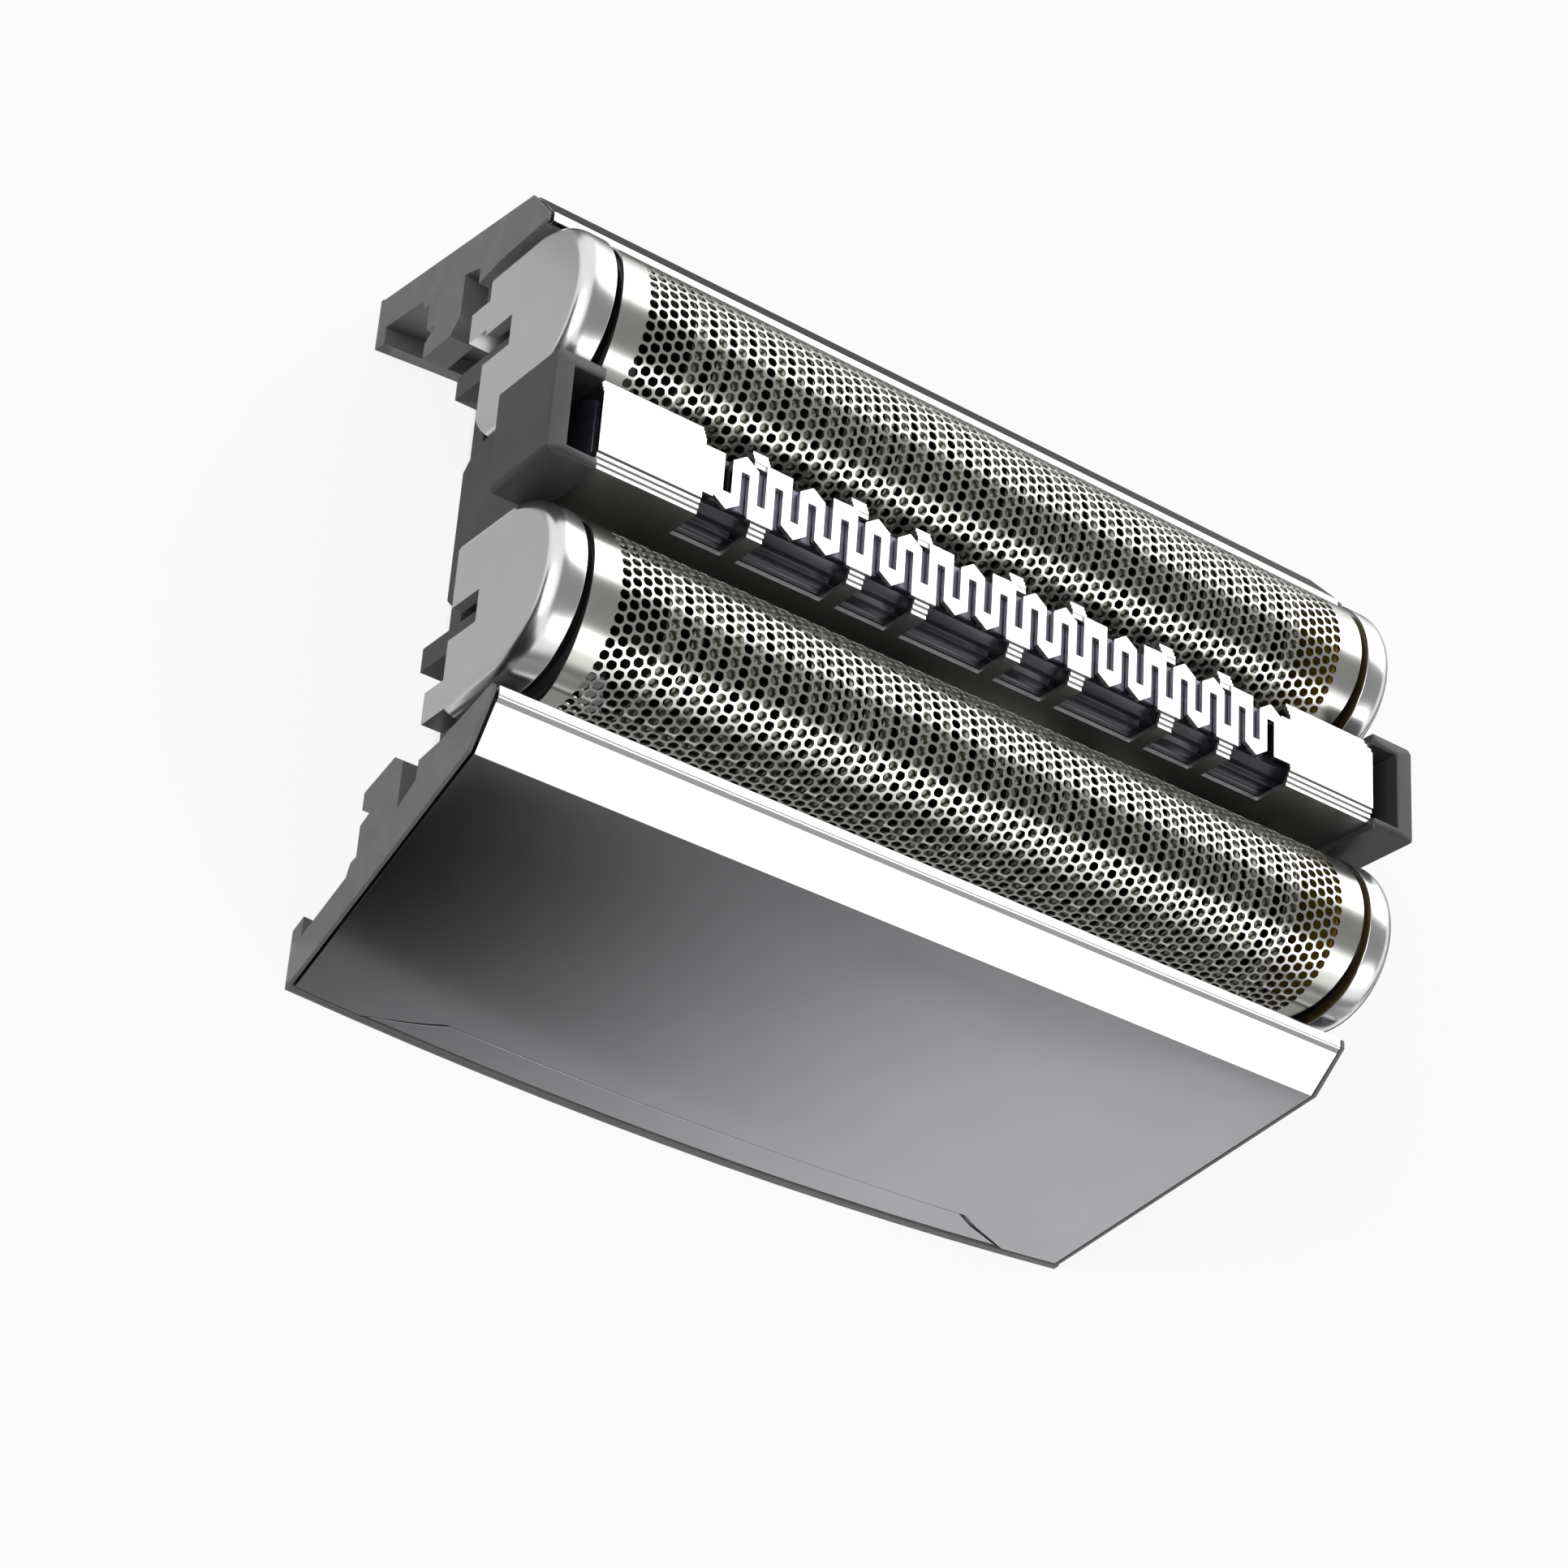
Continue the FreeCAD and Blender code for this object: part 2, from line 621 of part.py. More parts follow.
def cutter_blades():
    """Arched lamellae in a row on one foot strip, between two stout end plates."""
    radius = lamella_radius()
    hollow = radius - LAMELLA_RIM
    half = pack_half()
    low_z = PLATFORM_TOP_Z
    ring = prism_x(half_ring(radius, low_z, LAMELLA_FACETS), 0, LAMELLA_WALL)
    ring = ring.cut(prism_x(half_ring(hollow, low_z, LAMELLA_FACETS // 2), 0, LAMELLA_WALL))
    pieces = both_ends(arch(half, half + END_PLATE_WALL, radius, low_z))
    for k in range(lamella_count()):
        pieces.append(ring.translated(V(k * LAMELLA_PITCH - half, 0, 0)))
    for side in (-1, 1):
        near = UNIT_Y + side * hollow
        far = UNIT_Y + side * (radius - LAMELLA_RIM / 3)
        pieces.append(box(-half, half, near, far, low_z, low_z + LAMELLA_FOOT))
    return pieces[0].multiFuse(pieces[1:]).removeSplitter()


def cutter_carrier():
    """Platform and keel that carry the lamellae."""
    half = pack_half() + END_PLATE_WALL
    width = lamella_radius() - LAMELLA_RIM / 3
    keel_half = flank_end() - BRIDGE_LENGTH - CUTTER_TRAVEL
    platform = box(-half, half, UNIT_Y - width, UNIT_Y + width,
                   PLATFORM_TOP_Z - PLATFORM_WALL, PLATFORM_TOP_Z)
    keel = box(-keel_half, keel_half, UNIT_Y - KEEL_HALF_WIDTH, UNIT_Y + KEEL_HALF_WIDTH,
               KEEL_LOW_Z, PLATFORM_TOP_Z - PLATFORM_WALL)
    return platform.fuse(keel).removeSplitter()


def drive_cup():
    """Cup under the carrier that takes the drive pin from below."""
    cup = Part.makeCylinder(DRIVE_CUP_RADIUS, KEEL_LOW_Z - DRIVE_CUP_LOW_Z,
                            V(0, UNIT_Y, DRIVE_CUP_LOW_Z))
    bore = Part.makeCylinder(DRIVE_BORE_RADIUS, DRIVE_BORE_DEPTH + 1,
                             V(0, UNIT_Y, DRIVE_CUP_LOW_Z - 1))
    return cup.cut(bore)


# Centre trimmer

def leg_x(index):
    """Middle of a leg of the serpentine, counted from the left plate."""
    return (index - (LEG_COUNT - 1) / 2) * LEG_PITCH


def window_half():
    """Half-length of the open stretch of the comb."""
    return leg_x(LEG_COUNT - 1) + LEG_WIDTH / 2 + WINDOW_END_GAP


def loop_end(index, side, flat):
    """Outer end of the loop between two legs: a gable, or square where a tab holds it."""
    left = leg_x(index) - LEG_WIDTH / 2
    right = leg_x(index + 1) + LEG_WIDTH / 2
    if flat:
        return [(left, side * PEAK_Y), (right, side * PEAK_Y)]
    middle = (left + right) / 2
    return [(left, side * SHOULDER_Y), (middle, side * PEAK_Y), (right, side * SHOULDER_Y)]


def slot_end(index, side):
    """Blind end of the slot between two legs."""
    left = leg_x(index) + LEG_WIDTH / 2
    right = leg_x(index + 1) - LEG_WIDTH / 2
    return [(left, side * SLOT_END_Y), (right, side * SLOT_END_Y)]


def rear_flat_loops():
    """Loops at the rear edge that reach towards a tab: right and left of it by turns."""
    loops = []
    for order, leg in enumerate(TAB_LEGS):
        middle = int(leg)
        loops.append(middle + 1 if order % 2 == 0 else middle - 1)
    return loops


def serpentine_plate():
    """Top plate of the comb: two end plates joined by a serpentine ribbon."""
    last = LEG_COUNT - 1
    front_flat = [int(leg) for leg in TAB_LEGS]
    rear_flat = rear_flat_loops()
    neck_a = leg_x(0) + LEG_WIDTH / 2
    neck_b = leg_x(last) - LEG_WIDTH / 2
    rear = [(-trimmer_half(), PLATE_HALF_WIDTH), (-window_half(), PLATE_HALF_WIDTH),
            (-window_half(), PLATE_NECK_Y), (neck_a, PLATE_NECK_Y)]
    front = [(-trimmer_half(), -PLATE_HALF_WIDTH), (-window_half(), -PLATE_HALF_WIDTH),
             (-window_half(), -PLATE_NECK_Y), (leg_x(0) - LEG_WIDTH / 2, -PLATE_NECK_Y)]
    for index in range(last):
        if index % 2 == 0:
            rear += slot_end(index, -1)
            front += loop_end(index, -1, index in front_flat)
        else:
            rear += loop_end(index, 1, index in rear_flat)
            front += slot_end(index, 1)
    rear += [(leg_x(last) + LEG_WIDTH / 2, PLATE_NECK_Y), (window_half(), PLATE_NECK_Y),
             (window_half(), PLATE_HALF_WIDTH), (trimmer_half(), PLATE_HALF_WIDTH)]
    front += [(neck_b, -PLATE_NECK_Y), (window_half(), -PLATE_NECK_Y),
              (window_half(), -PLATE_HALF_WIDTH), (trimmer_half(), -PLATE_HALF_WIDTH)]
    return prism_z(rear + front[::-1], TRIMMER_TOP_Z - COMB_SHEET, TRIMMER_TOP_Z)


def ridge_profile():
    """Stepped shoulder and side wall of the comb channel, on the +Y side."""
    step_y = (CHANNEL_HALF_WIDTH - PLATE_HALF_WIDTH) / RIDGE_COUNT
    outer = []
    for k in range(RIDGE_COUNT):
        y = PLATE_HALF_WIDTH + k * step_y
        z = TRIMMER_TOP_Z - (k + 1) * RIDGE_STEP
        outer += [(y, z), (y + step_y, z)]
    inner_y = CHANNEL_HALF_WIDTH - COMB_SHEET
    under_z = TRIMMER_TOP_Z - COMB_SHEET - RIDGE_COUNT * RIDGE_STEP
    return outer + [
        (CHANNEL_HALF_WIDTH, CHANNEL_LOW_Z),
        (inner_y, CHANNEL_LOW_Z),
        (inner_y, under_z),
        (PLATE_HALF_WIDTH, TRIMMER_TOP_Z - COMB_SHEET),
    ]


def trimmer_comb():
    """Stamped channel of the trimmer: serpentine top, stepped shoulders and windowed walls."""
    profile = ridge_profile()
    reach = trimmer_half()
    low_wall = box(-reach, reach, CHANNEL_HALF_WIDTH - COMB_SHEET, CHANNEL_HALF_WIDTH,
                   CHANNEL_LOW_Z, WINDOW_LOW_Z)
    flanks = [low_wall]
    flanks += both_ends(prism_x(profile, window_half(), reach))
    links = []
    link_low = TRIMMER_TOP_Z - COMB_SHEET
    link_top = TRIMMER_TOP_Z - RIDGE_STEP
    link_edge = PLATE_HALF_WIDTH + COMB_SHEET / 2
    for order, leg in enumerate(TAB_LEGS):
        middle = leg_x(leg)
        flanks.append(prism_x(profile, middle - TAB_WIDTH / 2, middle + TAB_WIDTH / 2))
        links.append(box(middle - TAB_WIDTH / 2, middle + TAB_WIDTH / 2,
                         -link_edge, -SLOT_END_Y - LEG_WIDTH / 2, link_low, link_top))
        toward = 1 if order % 2 == 0 else -1
        links.append(box(middle - toward * TAB_WIDTH / 2, middle + toward * LEG_PITCH,
                         PEAK_Y - LEG_WIDTH / 2, link_edge, link_low, link_top))
    plate = serpentine_plate()
    return plate.multiFuse(flanks + [mirrored_y(f) for f in flanks] + links).removeSplitter()


def blade_top():
    """Height of the moving blade's cutting face."""
    return TRIMMER_TOP_Z - COMB_SHEET - BLADE_GAP


def trimmer_blade():
    """Flat moving blade under the serpentine, with a row of cross slots for teeth."""
    half = window_half() - BLADE_TRAVEL - SLOT_END_Y
    top = blade_top()
    blade = box(-half, half, -BLADE_HALF_WIDTH, BLADE_HALF_WIDTH, top - BLADE_SHEET, top)
    gaps = []
    pitch = 2 * LEG_PITCH
    count = int(half / pitch)
    for k in range(-count, count + 1):
        for side in (-1, 1):
            gaps.append(box(k * pitch - LEG_WIDTH / 2, k * pitch + LEG_WIDTH / 2,
                            side * SLOT_END_Y / 2, side * (BLADE_HALF_WIDTH + 1),
                            top - BLADE_SHEET, top))
    return blade.cut(Part.makeCompound(gaps))


def block_profile(half_width):
    """Ledged cross-section of the comb block."""
    top = blade_top() - BLADE_SHEET - BLADE_GAP
    return [
        (PLATE_NECK_Y + 0.1, top),
        (half_width - 0.35, top - 0.4),
        (half_width - 0.35, top - 0.7),
        (half_width - 0.12, top - 0.8),
        (half_width - 0.12, top - 1.35),
        (half_width, top - 1.45),
        (half_width, BLOCK_LOW_Z),
    ]


def trimmer_block():
    """Plastic insert in the channel: ledges in the windows, a groove for the slider, end legs."""
    half_width = CHANNEL_HALF_WIDTH - COMB_SHEET - BLOCK_GAP
    side = block_profile(half_width)
    outline = side + [(-y, z) for y, z in side[::-1]]
    half = trimmer_half()
    block = prism_x(outline, -half, half)
    groove_half = SLIDER_HALF_WIDTH + SLIDER_GAP
    groove_end = window_half()
    groove_low = BLOCK_LOW_Z + BLOCK_FLOOR
    cuts = [
        box(-groove_end, groove_end, -groove_half, groove_half, groove_low, TRIMMER_TOP_Z),
        box(-STEM_HALF - BLADE_TRAVEL - RUNNING_GAP, STEM_HALF + BLADE_TRAVEL + RUNNING_GAP,
            -groove_half, groove_half, BLOCK_LOW_Z - 1, groove_low + 1),
    ]
    for leg in TAB_LEGS:
        middle = leg_x(leg)
        for sign in (-1, 1):
            cuts.append(box(middle - TAB_WIDTH * 0.7, middle + TAB_WIDTH * 0.7,
                            sign * PLATE_NECK_Y, sign * (half_width + 1),
                            WINDOW_LOW_Z, TRIMMER_TOP_Z))
    block = block.cut(Part.makeCompound(cuts))
    leg_outer = guide_outer() - GUIDE_WALL - RUNNING_GAP
    leg = box(leg_outer - BLOCK_LEG_WALL, leg_outer, -PLATE_NECK_Y, PLATE_NECK_Y,
              GUIDE_TOP_Z - TRIMMER_TRAVEL, BLOCK_LOW_Z)
    return block.multiFuse(both_ends(leg)).removeSplitter()


def trimmer_slider():
    """Slider under the moving blade, with a stem and a cup for the drive pin."""
    half = window_half() - BLADE_TRAVEL - SLOT_END_Y
    low = BLOCK_LOW_Z + BLOCK_FLOOR + SLIDER_GAP
    bar = box(-half, half, -SLIDER_HALF_WIDTH, SLIDER_HALF_WIDTH, low, blade_top() - BLADE_SHEET)
    stem = box(-STEM_HALF, STEM_HALF, -SLIDER_HALF_WIDTH, SLIDER_HALF_WIDTH, STEM_LOW_Z, low)
    cup = Part.makeCylinder(DRIVE_CUP_RADIUS, STEM_LOW_Z - DRIVE_CUP_LOW_Z, V(0, 0, DRIVE_CUP_LOW_Z))
    bore = Part.makeCylinder(DRIVE_BORE_RADIUS, DRIVE_BORE_DEPTH + 1, V(0, 0, DRIVE_CUP_LOW_Z - 1))
    return bar.multiFuse([stem, cup]).cut(bore).removeSplitter()


def trimmer_box():
    """Plastic end box at +X, open on top, that closes the channel."""
    start = trimmer_half()
    end = start + BOX_LENGTH
    body = box(start, end, -BOX_HALF_WIDTH, BOX_HALF_WIDTH, BOX_LOW_Z, BOX_TOP_Z)
    upright = [e for e in body.Edges if e.BoundBox.XMin > end - 0.01 and e.BoundBox.YLength < 0.01]
    body = body.makeChamfer(BOX_WALL / 3, upright)
    recess = box(start, end - BOX_END_WALL, -BOX_HALF_WIDTH + BOX_WALL,
                 BOX_HALF_WIDTH - BOX_WALL, BOX_TOP_Z - BOX_RECESS, BOX_TOP_Z)
    return body.cut(recess)


# Inner frame

def carrier_inner_y(z):
    """Inner face of the rear panel carrier at its ends."""
    return face_y(z) - FASCIA_WALL - FASCIA_SEAM - CARRIER_WALL


def end_bar():
    """Cross bar at +X between the two panel carriers, with a spring well under each foil unit."""
    low_y = carrier_inner_y(BAR_LOW_Z)
    top_y = carrier_inner_y(BAR_TOP_Z)
    bar = prism_x([(-low_y, BAR_LOW_Z), (low_y, BAR_LOW_Z), (top_y, BAR_TOP_Z), (-top_y, BAR_TOP_Z)],
                  bar_inner(), bar_outer())
    reach_y = UNIT_Y + TONGUE_HALF_WIDTH
    ledge = box(bar_outer(), guide_outer(), -reach_y, reach_y, TONGUE_LOW_Z, BAR_TOP_Z)
    wells = []
    for side in (-1, 1):
        wells.append(Part.makeCylinder(SPRING_WELL_RADIUS, BAR_TOP_Z - SPRING_WELL_Z + 1,
                                       V(unit_spring_x(), side * UNIT_Y, SPRING_WELL_Z)))
    return bar.fuse(ledge).cut(Part.makeCompound(wells))


def guide_plate():
    """Upright plate at +X that guides the trimmer, with shoulders that pass under the foil units."""
    outer = guide_outer()
    inner = outer - GUIDE_WALL
    neck = UNIT_Y - CAP_RADIUS - 2 * RUNNING_GAP
    shoulder_z = RAIL_TOP_Z - RAIL_TAB_HEIGHT - UNIT_TRAVEL - 2 * RUNNING_GAP
    wide = GUIDE_HALF_WIDTH
    side = [
        (neck, GUIDE_TOP_Z),
        (neck, shoulder_z),
        (wide, shoulder_z),
        (wide, GUIDE_LOW_Z + GUIDE_CORNER),
        (wide - GUIDE_CORNER, GUIDE_LOW_Z),
    ]
    plate = prism_x(side + [(-y, z) for y, z in side[::-1]], inner, outer)
    groove = PLATE_NECK_Y + RUNNING_GAP
    ribs = []
    for sign in (-1, 1):
        ribs.append(box(inner - BLOCK_LEG_WALL, inner, sign * groove, sign * (groove + GUIDE_RIB_WALL),
                        BAR_LOW_Z + 1, GUIDE_TOP_Z))
    return plate.multiFuse(ribs)


def tongue(side):
    """Upright tongue at +X inside an end cap, seen through the cap's slot."""
    middle = side * UNIT_Y
    outer = cap_half() - CAP_WALL - 2 * RUNNING_GAP
    return box(guide_outer(), outer, middle - TONGUE_HALF_WIDTH, middle + TONGUE_HALF_WIDTH,
               TONGUE_LOW_Z, TONGUE_TOP_Z)


def centre_ladder():
    """Two long rails under the trimmer, tied by the bars that its springs stand on."""
    reach = bar_inner()
    middle = seat_bar_x()
    rails = []
    for side in (-1, 1):
        rails.append(box(-reach, reach, side * RAIL_BEAM_INNER, side * RAIL_BEAM_OUTER,
                         RAIL_BEAM_LOW_Z, RAIL_BEAM_TOP_Z))
    seat = box(middle - SEAT_BAR_HALF, middle + SEAT_BAR_HALF,
               -RAIL_BEAM_OUTER, RAIL_BEAM_OUTER, RAIL_BEAM_LOW_Z, RAIL_BEAM_TOP_Z)
    return rails + both_ends(seat)


def inner_frame():
    """Dark moulding that carries everything: end bars, guide plates, tongues and centre ladder."""
    ends = [end_bar(), guide_plate(), tongue(-1), tongue(1)]
    parts = centre_ladder()
    for piece in ends:
        parts += both_ends(piece)
    return parts[0].multiFuse(parts[1:]).removeSplitter()


def save(name, shape):
    """Write one sub-part."""
    shape.exportStep("parts/" + name + ".step")


def build():
    """Make every sub-part and write it."""
    os.makedirs("parts", exist_ok=True)
    save("inner_frame", inner_frame())
    unit = {
        "panel_carrier": panel_carrier(),
        "fascia": fascia(),
        "foil": foil(),
        "foil_frame": foil_frame(),
        "foil_cap_right": cap(),
        "foil_cap_left": mirrored_x(cap()),
        "cutter_blades": cutter_blades(),
        "cutter_carrier": cutter_carrier(),
        "foil_end_block_right": end_block(),
        "foil_end_block_left": mirrored_x(end_block()),
        "cutter_drive_cup": drive_cup(),
        "foil_spring_right": coil_spring(unit_spring_x(), UNIT_Y, SPRING_WELL_Z, BRIDGE_LOW_Z),
        "foil_spring_left": coil_spring(-unit_spring_x(), UNIT_Y, SPRING_WELL_Z, BRIDGE_LOW_Z),
    }
    for name, shape in unit.items():
        save("rear_" + name, shape)
        save("front_" + name, mirrored_y(shape))
    save("trimmer_comb", trimmer_comb())
    save("trimmer_block", trimmer_block())
    save("trimmer_blade", trimmer_blade())
    save("trimmer_slider", trimmer_slider())
    save("trimmer_box_right", trimmer_box())
    save("trimmer_box_left", mirrored_x(trimmer_box()))
    for name, x in (("right", seat_bar_x()), ("left", -seat_bar_x())):
        save("trimmer_spring_" + name, coil_spring(x, 0, RAIL_BEAM_TOP_Z, BLOCK_LOW_Z))


build()
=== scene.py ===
"""Dressed scene of an electric shaver's foil head, laid out as an add-on and run as a script."""

import math

import bmesh
import bpy
from mathutils import Matrix, Vector


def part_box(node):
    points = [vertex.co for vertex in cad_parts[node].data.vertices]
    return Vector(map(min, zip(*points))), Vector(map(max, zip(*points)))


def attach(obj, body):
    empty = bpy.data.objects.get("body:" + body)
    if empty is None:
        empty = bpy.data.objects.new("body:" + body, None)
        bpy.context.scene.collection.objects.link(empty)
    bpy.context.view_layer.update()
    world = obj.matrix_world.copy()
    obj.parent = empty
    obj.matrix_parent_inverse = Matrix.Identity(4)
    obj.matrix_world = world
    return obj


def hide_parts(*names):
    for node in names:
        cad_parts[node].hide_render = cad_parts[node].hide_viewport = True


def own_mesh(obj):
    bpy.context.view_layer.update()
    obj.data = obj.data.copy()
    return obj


bl_info = {
    "name": "Shaver foil head",
    "version": (1, 0, 0),
    "blender": (4, 5, 0),
    "location": "View3D > Sidebar > Foil head",
    "description": "Perforated foils, lamella cutters, trimmer, caps and panels on a packed frame",
    "category": "Object",
}

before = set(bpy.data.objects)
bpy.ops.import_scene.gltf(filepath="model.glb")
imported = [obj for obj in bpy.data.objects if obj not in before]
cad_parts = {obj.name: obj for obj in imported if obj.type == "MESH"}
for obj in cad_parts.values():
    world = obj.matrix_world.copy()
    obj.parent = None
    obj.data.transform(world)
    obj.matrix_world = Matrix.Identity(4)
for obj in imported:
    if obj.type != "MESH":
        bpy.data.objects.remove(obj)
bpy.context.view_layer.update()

MM = 0.001
SIDES = ("front", "rear")
ENDS = ("left", "right")


# Colour, materials and meshes

MIX_SHARE, MIX_FIRST, MIX_SECOND, MIX_RESULT = 0, 6, 7, 2  # sockets of a Mix node for colours
CLOUD_RAMP = (0.25, 0.75)    # where the noise starts and stops to mix the two tones
RELIEF_SHARE = 0.1           # depth of a bumped grain as a share of its size
POLISH_AND_HIGHLIGHT_EDGE = 0.03 * MM      # how softly a polished part, painted brighter as a highlight, begins, each way
LEVEL_NORMAL = 0.9           # upward part of the normal from which a face counts as level
COMB_LAND = 0.3 * MM         # top of the comb that is ground smooth and painted brighter as a highlight
SHOULDER_SHADE_LINES = (1.4 * MM, 0.2167 * MM, 0.3)  # painted shade lines on the comb's shoulders: first riser from the middle, pitch, dark share
FASCIA_BEVEL = 1.65 * MM     # how far the polished bevel of a fascia, painted brighter as a highlight, reaches down from its top
LIP_SHADE = (0.20 * MM, 0.05 * MM)  # lower and upper end of the painted shade line under a fascia's top
WELD_DISTANCE = 0.0005 * MM  # points of a CAD mesh nearer than this are one
BEVEL_ANGLE = 28             # degrees from which an edge is rounded
BEVEL_SEGMENTS = 2


def srgb(hex_code):
    """Linear RGBA of an sRGB hex colour."""
    values = [int(hex_code[i:i + 2], 16) / 255 for i in (1, 3, 5)]
    linear = [v / 12.92 if v <= 0.04045 else ((v + 0.055) / 1.055) ** 2.4 for v in values]
    return (*linear, 1.0)


def per_metre(size_mm):
    """Texture scale in object space for a pattern of a given size."""
    return 1000.0 / size_mm


def add_node(tree, kind, settings=None, values=None, links=None):
    """Add a node with its settings, its input values and the outputs that feed it."""
    node = tree.nodes.new(kind)
    for key, value in (settings or {}).items():
        setattr(node, key, value)
    for key, value in (values or {}).items():
        node.inputs[key].default_value = value
    for key, (source, output) in (links or {}).items():
        tree.links.new(source.outputs[output], node.inputs[key])
    return node


def surface(name, dark, light, grain_mm, bump_mm, bump, stretch=(1, 1, 1), **values):
    """Principled material whose colour drifts between two tones, with a fine bumped grain."""
    material = bpy.data.materials.new(name)
    material.use_nodes = True
    tree = material.node_tree
    tree.nodes.clear()
    place = add_node(tree, "ShaderNodeTexCoord")
    mapping = add_node(tree, "ShaderNodeMapping", values={"Scale": stretch},
                       links={"Vector": (place, "Object")})
    cloud = add_node(tree, "ShaderNodeTexNoise",
                     values={"Scale": per_metre(grain_mm), "Detail": 4.0},
                     links={"Vector": (mapping, "Vector")})
    ramp = add_node(tree, "ShaderNodeValToRGB", links={"Fac": (cloud, "Fac")})
    for stop, position, tone in zip(ramp.color_ramp.elements, CLOUD_RAMP, (dark, light)):
        stop.position = position
        stop.color = srgb(tone)
    fine = add_node(tree, "ShaderNodeTexNoise",
                    values={"Scale": per_metre(bump_mm), "Detail": 2.0},
                    links={"Vector": (mapping, "Vector")})
    relief = add_node(tree, "ShaderNodeBump",
                      values={"Strength": bump, "Distance": bump_mm * MM * RELIEF_SHARE},
                      links={"Height": (fine, "Fac")})
    shader = add_node(tree, "ShaderNodeBsdfPrincipled", values=values,
                      links={"Base Color": (ramp, "Color"), "Normal": (relief, "Normal")})
    add_node(tree, "ShaderNodeOutputMaterial", links={"Surface": (shader, "BSDF")})
    return material


def tint(tree, mask, hex_code):
    """Lays a tone over the base colour where a mask (node, output) says so."""
    shader = next(n for n in tree.nodes if n.type == "BSDF_PRINCIPLED")
    source = shader.inputs["Base Color"].links[0].from_socket
    tone = add_node(tree, "ShaderNodeMix", settings={"data_type": "RGBA"},
                    values={MIX_SECOND: srgb(hex_code)}, links={MIX_SHARE: mask})
    tree.links.new(source, tone.inputs[MIX_FIRST])
    tree.links.new(tone.outputs[MIX_RESULT], shader.inputs["Base Color"])
    return shader


def point_parts(tree):
    """X, Y and Z of the shaded point, in the object's own space."""
    place = add_node(tree, "ShaderNodeTexCoord")
    return add_node(tree, "ShaderNodeSeparateXYZ", links={"Vector": (place, "Object")})


def polish_and_paint_highlight_above(material, height, hex_code, roughness, shade_lines=None):
    """Gives the part of a surface above a height a finer polish and a brighter tone, which is a
    painted highlight.

    Painted shade lines (start, pitch, share) keep the darker tone and the duller roughness: lines
    along X that repeat outwards from the middle.
    """
    tree = material.node_tree
    parts = point_parts(tree)
    above = add_node(tree, "ShaderNodeMapRange",
                     values={"From Min": height - POLISH_AND_HIGHLIGHT_EDGE, "From Max": height + POLISH_AND_HIGHLIGHT_EDGE},
                     links={"Value": (parts, "Z")})
    polish_and_highlight = (above, "Result")
    if shade_lines:
        # Painted shade lines across the polished top, where the risers lie in shade
        beside = between_shade_lines(tree, parts, *shade_lines)
        above = add_node(tree, "ShaderNodeMath", settings={"operation": "MULTIPLY"},
                         links={0: polish_and_highlight, 1: (beside, "Value")})
        polish_and_highlight = (above, "Value")
    # Painted highlight: the brighter tone is laid on the part above the height
    shader = tint(tree, polish_and_highlight, hex_code)
    dull = shader.inputs["Roughness"].default_value
    polish = add_node(tree, "ShaderNodeMapRange", values={"To Min": dull, "To Max": roughness},
                      links={"Value": polish_and_highlight})
    tree.links.new(polish.outputs["Result"], shader.inputs["Roughness"])


def between_shade_lines(tree, parts, start, pitch, share):
    """One beside the painted shade lines and nought in them, by the distance from the middle
    across Y.
    """
    out = add_node(tree, "ShaderNodeMath", settings={"operation": "ABSOLUTE"},
                   links={0: (parts, "Y")})
    steps = add_node(tree, "ShaderNodeMapRange", settings={"clamp": False},
                     values={"From Min": start, "From Max": start + pitch},
                     links={"Value": (out, "Value")})
    phase = add_node(tree, "ShaderNodeMath", settings={"operation": "FRACT"},
                     links={0: (steps, "Result")})
    flat = add_node(tree, "ShaderNodeMath", settings={"operation": "GREATER_THAN"},
                    values={1: share}, links={0: (phase, "Value")})
    inside = add_node(tree, "ShaderNodeMath", settings={"operation": "LESS_THAN"},
                      values={1: 0.0}, links={0: (steps, "Result")})
    return add_node(tree, "ShaderNodeMath", settings={"operation": "MAXIMUM"},
                    links={0: (flat, "Value"), 1: (inside, "Value")})


def paint_shade_between(material, low, high, hex_code):
    """Paints a level line of shade round a surface, between two heights."""
    tree = material.node_tree
    band = add_node(tree, "ShaderNodeMath", settings={"operation": "COMPARE"},
                    values={1: (low + high) / 2, 2: (high - low) / 2},
                    links={0: (point_parts(tree), "Z")})
    tint(tree, (band, "Value"), hex_code)


def paint_sill_highlights(material, height, hex_code):
    """Gives the level faces below a height, such as window sills, a painted highlight in a bright
    tone.
    """
    tree = material.node_tree
    low = add_node(tree, "ShaderNodeMath", settings={"operation": "LESS_THAN"},
                   values={1: height}, links={0: (point_parts(tree), "Z")})
    facing = add_node(tree, "ShaderNodeNewGeometry")
    tilt = add_node(tree, "ShaderNodeSeparateXYZ", links={"Vector": (facing, "True Normal")})
    level = add_node(tree, "ShaderNodeMath", settings={"operation": "GREATER_THAN"},
                     values={1: LEVEL_NORMAL}, links={0: (tilt, "Z")})
    sill = add_node(tree, "ShaderNodeMath", settings={"operation": "MULTIPLY"},
                    links={0: (low, "Value"), 1: (level, "Value")})
    # Painted highlight on the faces that look upwards
    tint(tree, (sill, "Value"), hex_code)


FINISHES = {}


def finish(key):
    """The material of that key, made the first time that it is asked for."""
    if key not in FINISHES:
        FINISHES[key] = RECIPES[key]()
    return FINISHES[key]


# Electroformed nickel sheet: bright and mirror-smooth, with the faintest cloud in its gloss
def nickel_foil():
    return surface("electroformed_nickel_foil", "#CBCBC6", "#E0E0DB", 2.5, 0.4, bump=0.04,
                   Metallic=1.0, Roughness=0.22)


